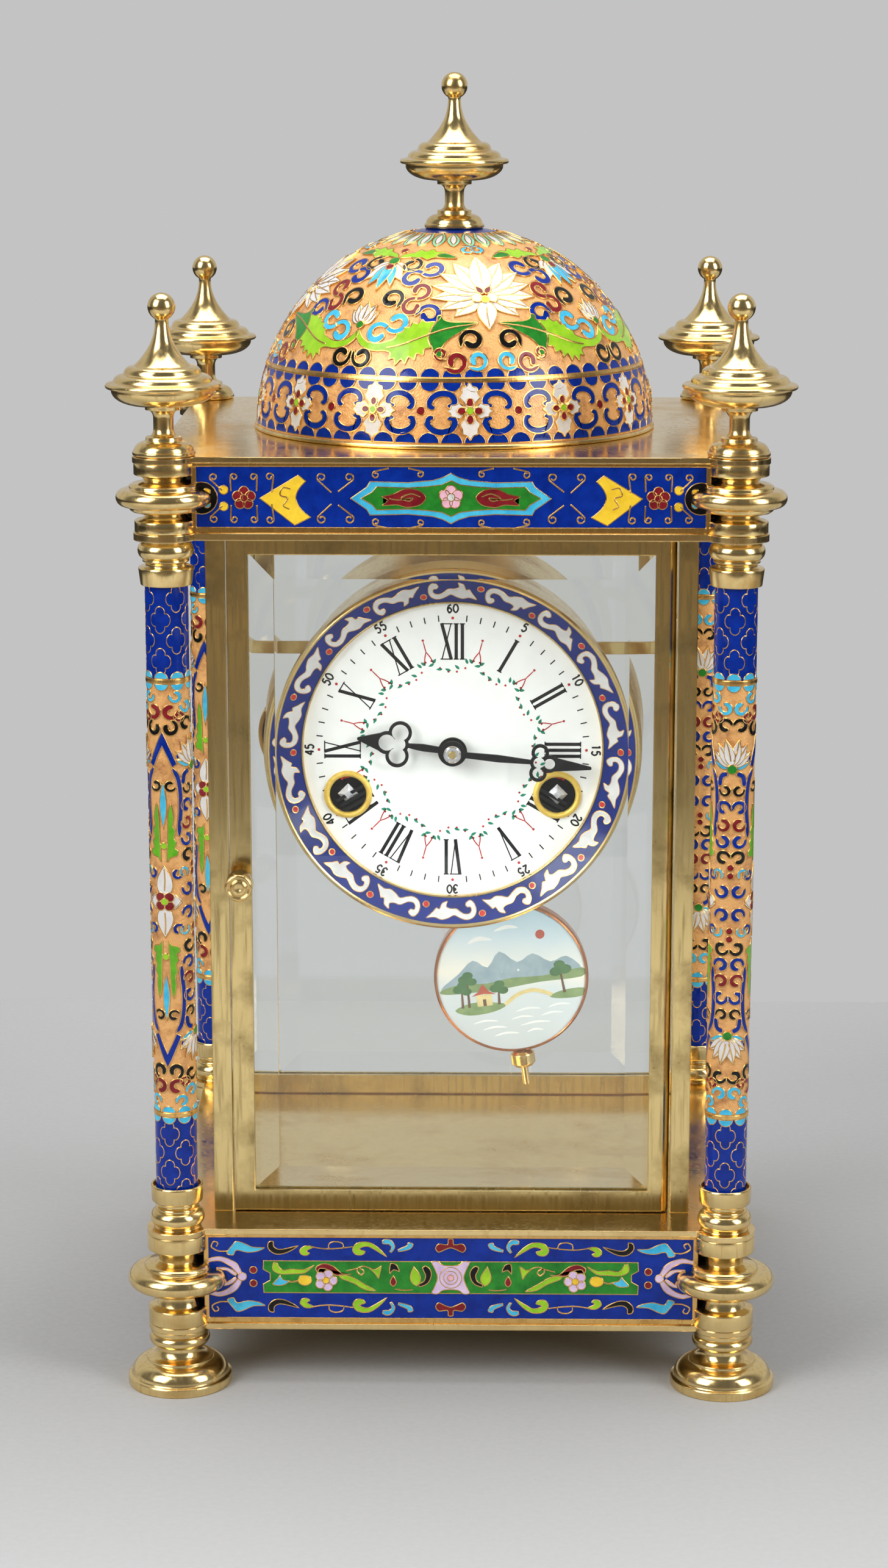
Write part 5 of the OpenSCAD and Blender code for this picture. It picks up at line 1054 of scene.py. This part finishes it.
def panels(name, drawing, middle):
    low, high = extent(name)
    z = low.z + middle * (high.z - low.z)
    edges = edging(high.x - PANEL_STOP, low.z - z, high.z - z)
    mesh = cloisons(drawing + edges, lift=0.08, step=0.03)
    laid(name + "_cloisonne", [(mesh, place) for place in panel_places(name, z)])


panels("base_panels", base_field() + base_border(), BASE_MIDDLE)
panels("frieze_panels", top_panel(), FRIEZE_MIDDLE)


# Dial: everything printed on it lies a hair over the enamel; angles run clockwise from twelve
DIAL_LOW, DIAL_HIGH = extent("dial")
DIAL_Y, DIAL_Z = DIAL_LOW.y, (DIAL_LOW.z + DIAL_HIGH.z) / 2
HOUR_R, HOUR_H, SWAG_R, DOT_R, DOT = 31.5, 12.6, 27.6, 45.9, 0.5
TICK_R, TICK_H, TICK_HALF = 44.8, 2.2, 0.21
NUMBER_R, NUMBER_H, NUMBER_W, NUMBER_PITCH, NUMBER_HALF = 47.7, 3.0, 1.8, 2.1, 0.3
LETTER_W = {"I": 2.1, "V": 4.4, "X": 4.5}
HOURS = "I II III IIII V VI VII VIII IX X XI XII".split()


def on_dial(angle, r):
    # upright along the radius, r out from the middle
    a = math.radians(angle)

    def place(u, v, w):
        far = r + v
        across, up = far * math.sin(a) + u * math.cos(a), far * math.cos(a) - u * math.sin(a)
        return Vector((across, DIAL_Y - w, DIAL_Z + up))
    return place


def bar(u0, v0, u1, v1, half):
    return cell("black", ribbon([Vector((u0, v0)), Vector((u1, v1))], lambda t: half))


def letter(shape, u):
    # strokes of one Roman figure, starting at u, with serifs at its ends
    w, heavy, fine, serif, inset = LETTER_W[shape], 0.58, 0.2, 0.2, 0.15
    middle, levels = u + w / 2, (serif, HOUR_H - serif)
    if shape == "I":
        cells = bar(middle, 0, middle, HOUR_H, heavy)
    elif shape == "V":
        cells = bar(u + 0.7, HOUR_H, middle + 0.1, 0, heavy) + bar(u + w - 0.6, HOUR_H, middle, 0, fine)
        levels = levels[1:]
    else:
        cells = bar(u + 0.6, HOUR_H, u + w - 0.6, 0, heavy) + bar(u + w - 0.7, HOUR_H, u + 0.7, 0, fine)
    for level in levels:
        cells += bar(u + inset, level, u + w - inset, level, serif)
    return cells


def roman(text):
    u, cells = -sum(LETTER_W[shape] for shape in text) / 2, []
    for shape in text:
        cells += letter(shape, u)
        u += LETTER_W[shape]
    return cells


# strokes of the minute figures, in a box one wide and one tall
DIGITS = {
    "0": [[(0.5, 0), (0.1, 0.3), (0.1, 0.7), (0.5, 1), (0.9, 0.7), (0.9, 0.3), (0.5, 0)]],
    "1": [[(0.3, 0.8), (0.55, 1)], [(0.55, 1), (0.55, 0)]],
    "2": [[(0.1, 0.75), (0.5, 1), (0.88, 0.72), (0.5, 0.35), (0.1, 0)], [(0.1, 0.03), (0.9, 0.03)]],
    "3": [[(0.12, 0.85), (0.5, 1), (0.82, 0.78), (0.45, 0.55), (0.88, 0.3), (0.5, 0), (0.1, 0.18)]],
    "4": [[(0.7, 0), (0.7, 1)], [(0.7, 1), (0.08, 0.3)], [(0.05, 0.3), (0.95, 0.3)]],
    "5": [[(0.2, 0.97), (0.85, 0.97)], [(0.22, 0.95), (0.16, 0.55)],
          [(0.16, 0.55), (0.55, 0.64), (0.88, 0.34), (0.5, 0), (0.1, 0.16)]],
    "6": [[(0.8, 0.92), (0.35, 0.8), (0.12, 0.4), (0.45, 0), (0.86, 0.28), (0.5, 0.58), (0.16, 0.4)]],
}


def number(text):
    cells = []
    for i, digit in enumerate(text):
        left = (i - len(text) / 2) * NUMBER_PITCH + (NUMBER_PITCH - NUMBER_W) / 2
        for line in DIGITS[digit]:
            points = [Vector((left + x * NUMBER_W, y * NUMBER_H)) for x, y in line]
            path = smooth(points, False, 4) if len(points) > 2 else points
            cells += cell("black", ribbon(path, lambda t: NUMBER_HALF))
    return cells


def swag():
    # a hanging garland of leaves and berries by turns
    cells, reach, wide, rise = [], 5, 7.2, 3.8
    for k in range(-reach, reach + 1):
        away = k / reach
        u, v = wide * away, rise * away * away
        if k % 2:
            cells += disc("red", 0.4, u, v - 0.4, steps=8)
        else:
            cells += placed(petal("teal", 2.2, 0.95), u - 0.6, v, 70 - 60 * away)
    return cells


def sprig():
    # two red legs with leaves that meet in a stem with a berry
    leg = curve("red", [(1.6, -0.6), (0.9, 1.8), (0.1, 3.6)], 0.2, 0.2)
    leg += placed(petal("teal", 2, 1.1), 1.2, -0.6, -50)
    return twice(leg) + curve("red", [(0, 3.4), (0, 7.4)], 0.2, 0.3) + disc("red", 0.45, 0, 7.9, steps=8)


def printed(cells):
    return cloisons(cells, band=0, lift=0.03)


def dial_print():
    garland, twig, dot = printed(swag()), printed(sprig()), printed(disc("red", DOT))
    tick = printed(bar(0, 0, 0, TICK_H, TICK_HALF))
    lay = []
    for hour, figure in enumerate(HOURS, 1):
        angle = 30 * hour
        lay += [(printed(roman(figure)), on_dial(angle, HOUR_R)),
                (printed(number(str(5 * hour))), on_dial(angle, NUMBER_R)), (dot, on_dial(angle, DOT_R)),
                (garland, on_dial(angle, SWAG_R)), (twig, on_dial(angle + 15, HOUR_R))]
        lay += [(tick, on_dial(angle + 6 * k, TICK_R)) for k in (1, 2, 3, 4)]
    laid("dial_print", lay)


def winding_holes():
    # a rounded eyelet, a matt black well behind it that paints the shade inside the hole, and a bright
    # pyramid on the end of each winding square
    hole_r, lip_w, lip_h, lip_depth = 6.25, 1.05, 1.15, 1.4
    well_r, well_w, well_floor, arbor_r = 6.2, 0.2, -2.2, 2.6
    turns, outer = [math.pi * i / 10 for i in range(11)], hole_r + 0.7
    arch = [(hole_r + lip_w - lip_w * math.cos(t), lip_h * math.sin(t)) for t in turns]
    lip = [(hole_r, -lip_depth)] + arch + [(outer, 0), (outer, -lip_depth), (hole_r, -lip_depth)]
    well = [(arbor_r, well_floor), (well_r, well_floor), (well_r, -0.3), (well_r - well_w, -0.3),
            (well_r - well_w, well_floor + 0.4), (arbor_r, well_floor + 0.4), (arbor_r, well_floor)]
    middles = {}
    for side in ("time", "strike"):
        low, high = extent(side + "_arbor")
        middles[side] = Vector(((low.x + high.x) / 2, low.y, (low.z + high.z) / 2))
    holes = [at(m.x, DIAL_Y, m.z) @ FACING_FRONT for m in middles.values()]
    piece("rounded_eyelets", repeated(lathe(lip), holes), [eyelet_gold], replaces=["winding_eyelets"])
    # the matt black well is painted shade inside each hole
    piece("winding_wells_painted_shade", repeated(lathe(well, 40), holes), [well_painted_shade])
    for side, m in middles.items():
        cap = bmesh.new()
        bmesh.ops.create_cone(cap, cap_ends=True, segments=4, radius1=3.6, radius2=1.3, depth=1.2,
                              matrix=at(m.x, m.y - 0.5, m.z) @ FACING_FRONT)
        piece(side + "_winding_square", cap, [key_steel], side + "_winding_set")


dial_print()
winding_holes()


# Bezel ring: white leaf scrolls and gold-ringed red beads on the sloping blue ring, by radius and depth
RING_IN, RING_OUT, RING_LEAVES = Vector((52.0, -2.0)), Vector((60.0, -6.4)), 18


def on_ring(angle):
    slope = RING_OUT - RING_IN
    along = slope.normalized()
    middle, out = (RING_IN + RING_OUT) / 2, Vector((along.y, -along.x))

    def place(u, v, w):
        spot = middle + along * v + out * w
        a = math.radians(angle) + u / middle.x
        return Vector((spot.x * math.sin(a), DIAL_Y + spot.y, DIAL_Z + spot.x * math.cos(a)))
    return place


def ring_leaf():
    return blob("white", [(-5.2, 3.2), (-6.7, 3.7), (-8.1, 2), (-8.3, -0.7), (-7.1, -2.8), (-4.8, -3.5),
                          (-2.5, -2.7), (-0.6, -1.7), (1.3, -2.7), (3.6, -3.4), (5.9, -2.7), (8.8, -3.2),
                          (6.9, -0.7), (5.7, 1), (4.6, 0.7), (3.8, 2.7), (1.7, 3.6), (2.1, 1.7), (0.6, 1),
                          (-1.5, 0.9), (-3.6, -0.8), (-5.5, -1.1), (-6.5, -0.2), (-6.3, 1), (-5.3, 1),
                          (-4.6, 2)])


def bezel_ornament():
    drawing = ring_leaf() + disc("red", 1.25, 9.4, 1.7)
    leaves = [cloisons(mirrored(drawing, v=way), band=0.28, lift=0.08, cut_u=3) for way in (1, -1)]
    laid("bezel_cloisonne", [(leaves[k % 2], on_ring(360 * k / RING_LEAVES)) for k in range(RING_LEAVES)])


bezel_ornament()


# Pendulum bob: a crowned enamel picture of a lakeside in a copper rim, drawn in the bob's own turned frame
BOB_LOW, BOB_HIGH = extent("pendulum_bob")
BOB, BOB_SWING = (BOB_LOW + BOB_HIGH) / 2, math.radians(8.2)
PICTURE_R, BOB_R, BOB_EDGE, BOB_CROWN = 27.1, 28.2, 3.0, 1.6
BOB_TURN = at(*BOB) @ Matrix.Rotation(-BOB_SWING, 4, "Y") @ FACING_FRONT


def crown(r):
    # height of the picture at a radius
    return BOB_EDGE + BOB_CROWN * math.cos(math.pi / 2 * min(1, r / PICTURE_R))


def on_bob(u, v, w):
    return BOB_TURN @ Vector((u, v, crown(math.hypot(u, v)) + w))


def within(paint, points, layer=0):
    # an outline drawn over the edge of the round picture, brought back to it
    reach = PICTURE_R - 0.4
    kept = [p if p.length < reach else p * (reach / p.length) for p in map(Vector, points)]
    return blob(paint, kept, layer)


def shore_tree(u, v, tall, lean, crowns, layer):
    stem = [Vector((u, v)), Vector((u + lean, v + tall))]
    cells = cell("trunk", ribbon(stem, lambda t: 0.5 - 0.2 * t), layer)
    for k, (du, dv, r) in enumerate(crowns):
        cells += disc("leafage", r, u + lean + du, v + tall + dv, layer + 1 + 0.4 * k, 12, 0.75)
    return cells


def hills():
    cells = within("far", [(-26, -1), (-19, 4), (-13, 8.6), (-8, 5.4), (-3, 10.8), (3, 6), (9, 8.4),
                           (15, 4.4), (21, 5.6), (26, 0), (20, -1.6), (0, -2), (-20, -1.6)])
    cells += within("shore", [(-26, -1.4), (-18, 0.2), (-9, -0.6), (0, 0.4), (12, -0.4), (26, 0.4),
                              (25.6, -3), (10, -2.6), (-6, -3.4), (-24, -3.2)], 1)
    return cells


def island():
    cells = within("shore", [(-22, -9.6), (-16, -7.4), (-9, -7.8), (-3, -9.4), (-8, -11.6), (-17, -12)], 2)
    crowns = ((-1.2, 0.2, 2.1), (1.6, -0.8, 1.9), (0.4, 1.6, 2))
    for u, tall in ((-19, 7), (-16.6, 10.5), (-5.6, 6)):
        cells += shore_tree(u, -9, tall, 0.5, crowns, 3)
    cells += cell("straw", [(-13.6, -9), (-8, -9), (-8, -4.6), (-13.6, -4.6)], 4)
    cells += blob("tile", [(-15.2, -4.9), (-12.6, -3.4), (-10.8, -0.6), (-9, -3.4), (-6.4, -4.9),
                           (-10.8, -4.3)], 6, 2)
    return cells + cell("trunk", [(-11.4, -9), (-10.2, -9), (-10.2, -6.4), (-11.4, -6.4)], 6)


def bridge():
    cells = curve("straw", [(-3.6, -9.4), (2, -6), (8, -5.4), (14, -8)], 0.75, 0.1, 3)
    cells += within("shore", [(13, -8.6), (18, -7), (26, -7.4), (25, -10.4), (17, -10)], 2)
    return cells + shore_tree(18.6, -8, 8.4, -0.6, ((-1.6, 0, 2.3), (1.8, 0.4, 2.4), (0, 2.4, 2.1)), 4)


# level, and start and end of each ripple on the water there
RIPPLES = [(-12.6, 0, 9), (-12.6, 12, 20), (-15.4, -16, -7), (-15.4, -2, 6), (-15.4, 9, 17), (-18.2, -13, -4),
           (-18.2, 1, 12), (-21, -9, 0), (-21, 3, 9)]


def water_and_sky():
    cells = disc("tile", 1.7, 12.6, 15, 1) + curve("foam", [(-14, 15), (-10, 16.4), (-5, 15.4)], 0.8, 0.9, 1)
    cells += curve("foam", [(-4, 18.4), (1, 19.4), (5, 18.6)], 0.7, 0.9, 1)
    for v, start, end in RIPPLES:
        cells += curve("foam", [(start, v), ((start + end) / 2, v + 0.7), (end, v)], 0.38, 0.8, 1)
    return cells


# share of the bob's height and the tint there, from the near water up to the sky
SKY_TINTS = [(0.05, (196, 206, 214)), (0.5, (216, 227, 232)), (0.62, (244, 243, 234)),
             (0.85, (210, 229, 240)), (1.0, (188, 216, 233))]


def lake_sky():
    made = enamel("lake_sky", (238, 243, 247), (224, 234, 241))
    tree = made.node_tree
    place = object_place(tree)
    height = node(tree, "SeparateXYZ", Vector=place).outputs["Z"]
    cloud = noise(tree, place, 55.0, 4.0)
    level = spread(tree, height, 0.001 * (BOB.z - BOB_R), 0.001 * (BOB.z + BOB_R))
    share = math_node(tree, "MULTIPLY_ADD", cloud, 0.18, level)
    tint = ramp(tree, share, *((stop, srgb(*colour)) for stop, colour in SKY_TINTS))
    tree.links.new(tint, tree.nodes["Principled BSDF"].inputs["Base Color"])
    return made


def bob():
    front = [(r, crown(r)) for r in (PICTURE_R * i / 12 for i in range(13))]
    half = front + [(PICTURE_R, 3.4), (PICTURE_R + 0.4, 3.6), (BOB_R, 2.6)]
    whole = lathe(half + [(r, -y) for r, y in half[::-1]], 72)
    for face in whole.faces:
        face.material_index = int(math.hypot(*face.calc_center_median().xy) > PICTURE_R - 0.2)
    bmesh.ops.transform(whole, matrix=BOB_TURN, verts=whole.verts)
    piece("bob_disc", whole, [lake_sky(), copper], "pendulum", ["pendulum_bob"])
    drawing = hills() + island() + bridge() + water_and_sky()
    picture = cloisons(drawing, band=0, lift=0.03, step=0.02, cut_u=5, cut_v=5)
    laid("bob_picture", [(picture, on_bob)], "pendulum")


bob()


# Drum, slim straps with screw heads that hold it to the posts, and flat-faced knobs on the doors
DRUM_R, DRUM_WALL, KNOB_BALL = 58.5, 1.2, 4.5
STRAP_HALF, STRAP_TALL, STRAP_START, STRAP_BEND, STRAP_SCREW = 0.9, 4.4, 46, 62.2, 49


def drum_shell():
    low, high = extent("drum")
    back, inner = low.y - high.y, DRUM_R - DRUM_WALL
    tube = [(inner, 0), (DRUM_R, 0), (DRUM_R, back), (inner, back), (inner, 0)]
    piece("drum_shell", lathe(tube, 96, at(0, low.y, DIAL_Z) @ FACING_FRONT), [gilt], replaces=["drum"])


def knobs():
    # a cup around each ball, with a ringed flat face
    cap = eased([(3.2, -3.3), (4.7, -2.6), (4.7, 4), (4.2, 4.6), (3.5, 4.6), (3.3, 4.2), (2.7, 4.2),
                 (2.5, 4.8), (1, 4.8), (0.8, 4.6), (0, 4.6)], 0.2)
    for side in ("front", "rear"):
        low, high = extent(side + "_knob")
        y, turn = low.y + KNOB_BALL, FACING_FRONT
        if side == "rear":
            y, turn = high.y - KNOB_BALL, FACING_FRONT.inverted()
        place = at((low.x + high.x) / 2, y, high.z - KNOB_BALL) @ turn
        piece(side + "_knob_cap", lathe(cap, 40, place), [gilt], side + "_latch")


def straps():
    low, high = extent("movement_straps")
    middle, face, inset = (low.z + high.z) / 2, low.y + 1, 1
    route = [(STRAP_START, face), (STRAP_BEND, face), (high.x - inset, high.y - inset)]
    plan = ribbon([Vector(p) for p in route], lambda t: STRAP_HALF)
    bars = bmesh.new()
    for side in (-1, 1):
        bars.faces.new([bars.verts.new((side * p.x, p.y, middle - STRAP_TALL / 2)) for p in plan])
    grown = bmesh.ops.extrude_face_region(bars, geom=bars.faces[:])["geom"]
    tops = [v for v in grown if isinstance(v, bmesh.types.BMVert)]
    bmesh.ops.translate(bars, vec=(0, 0, STRAP_TALL), verts=tops)
    piece("slim_straps", bars, [works], replaces=["movement_straps"])
    head = lathe([(0, 1.4), (1.6, 1.4), (2.2, 0.9), (2.4, 0), (0, 0)], 24)
    places = [at(side * STRAP_SCREW, face + STRAP_HALF, middle) @ FACING_FRONT.inverted() for side in (-1, 1)]
    piece("strap_screw_heads", repeated(head, places), [blued])


drum_shell()
straps()
knobs()


# Finish of the pieces that keep their CAD shape
FINISHES = [
    (gilt, "front_knob rear_knob bezel pendulum_rod rating_nut"),
    (aged, "case_posts side_rails front_door_frame rear_door_frame"),
    (plate, "base_bottom_plate base_top_plate lintel_plate top_plate"),
    (works, "front_plate back_plate pillars suspension_cock time_barrel strike_barrel intermediate_wheel "
            "centre_wheel third_wheel escape_wheel cannon_pinion minute_wheel hour_wheel hammer_wheel fly"),
    (blued, "tie_rods front_door_pins rear_door_pins time_click strike_click pallets hammer"),
    (bright_steel, "time_arbor strike_arbor hand_nut"),
    (glass, "side_glasses front_door_glass rear_door_glass"),
    (lacquer, "hour_hand minute_hand"),
    (white, "dial"),
    (bell_metal, "bell"),
    (cobalt, "base_panels frieze_panels"),
    (ring_cobalt, "bezel_enamel"),
]
for finish, names in FINISHES:
    for name in names.split():
        nodes[name].data.materials.clear()
        nodes[name].data.materials.append(finish)


# Stage: a sheet of grey paper on a dark table, a pale surround, soft lights and the camera
SURROUND, ROOM = srgb(195, 195, 195), (0.144, 0.144, 0.146, 1)


def toned_sheet(name, near, far, *stops):
    # a fibrous sheet whose tone changes from near to far
    made, tree, shader = blank(name)
    place = object_place(tree)
    fibres = noise(tree, place, 420.0, 4.0)
    depth = spread(tree, node(tree, "SeparateXYZ", Vector=place).outputs["Y"], near, far)
    tone = ramp(tree, depth, *((share, srgb(*tint)) for share, tint in stops))
    grey = mixed(tree, spread(tree, fibres, 0.2, 0.8, 0.0, 0.06), tone, srgb(240, 240, 240))
    relief = node(tree, "Bump", Height=fibres, Strength=0.05, Distance=RELIEF).outputs["Normal"]
    join(tree, shader.inputs, Base_Color=grey, Normal=relief)
    set_plain(shader, Roughness=0.85, Specular_IOR_Level=0.2)
    return made


def flat_sheet(name, half, near, far, z, material):
    bm = bmesh.new()
    around = ((-half, near), (half, near), (half, far), (-half, far))
    bm.faces.new([bm.verts.new((x, y, z)) for x, y in around])
    linked(name, bm, [material])


def dark_table():
    # dark in the brass, but the tone of the surround where it is looked at directly or through the glass
    made = toned_sheet("dark_table", -1.5, -0.8, (0.0, (150, 132, 108)), (0.6, (58, 49, 37)),
                       (1.0, (34, 27, 20)))
    tree = made.node_tree
    path = node(tree, "LightPath").outputs
    seen = math_node(tree, "MAXIMUM", path["Is Camera Ray"], path["Is Transmission Ray"])
    pale = node(tree, "Emission", Color=SURROUND).outputs["Emission"]
    show_mix(tree, seen, tree.nodes["Principled BSDF"].outputs["BSDF"], pale)
    return made


def surround():
    # lights the object evenly; shows pale behind it, and dark to the brass where the room lies in front
    world = bpy.data.worlds.new("studio")
    world.use_nodes = True
    tree = world.node_tree
    path = node(tree, "LightPath").outputs
    seen = math_node(tree, "MAXIMUM", path["Is Camera Ray"], path["Is Transmission Ray"])
    way = node(tree, "SeparateXYZ", Vector=node(tree, "TexCoord").outputs["Generated"]).outputs["Y"]
    behind = math_node(tree, "MULTIPLY", path["Is Glossy Ray"], spread(tree, way, 0.1, 0.4))
    pale = math_node(tree, "MAXIMUM", seen, behind)
    tree.links.new(mixed(tree, pale, ROOM, SURROUND), tree.nodes["Background"].inputs["Color"])
    bpy.context.scene.world = world


def lamp(name, place, target, size, power):
    data = bpy.data.lights.new(name, "AREA")
    data.shape, data.size, data.size_y, data.energy = "RECTANGLE", *size, power
    made = bpy.data.objects.new(name, data)
    made.location = place
    made.rotation_euler = (Vector(target) - Vector(place)).to_track_quat("-Z", "Y").to_euler()
    bpy.context.scene.collection.objects.link(made)


def camera():
    tilt, pan = 12.762, 0.858
    lens = bpy.data.cameras.new("camera")
    lens.lens, lens.sensor_width = 78.95, 36.0
    made = bpy.data.objects.new("camera", lens)
    made.location = (0.01431, -1.1942, 0.4622)
    made.rotation_euler = (math.radians(90 - tilt), 0, math.radians(pan))
    bpy.context.scene.collection.objects.link(made)
    bpy.context.scene.camera = made


def stage():
    # the paper's tone is painted light and shade: darkest around the clock's foot, lighter towards the front
    # and the back
    paper = toned_sheet("grey_paper_painted_shade", -0.6, 0.6, (0.0, (192, 192, 192)), (0.22, (184, 184, 184)),
                        (0.45, (158, 158, 158)), (0.8, (176, 176, 176)))
    flat_sheet("paper_sheet", half=1.1, near=-0.8, far=0.38, z=0, material=paper)
    flat_sheet("table_top", half=6, near=-6, far=6, z=-0.004, material=dark_table())
    lamp("softbox_left", (-1.2, -1.1, 1.2), (0, 0, 0.2), (0.9, 1.4), power=30)
    lamp("softbox_right", (1.3, -0.9, 0.9), (0, 0, 0.2), (0.6, 1.2), power=18)
    lamp("softbox_top", (0, 0.1, 1.9), (0, 0, 0), (1.6, 1.2), power=27)
    surround()
    bpy.context.scene.view_settings.view_transform = "Standard"
    camera()


stage()
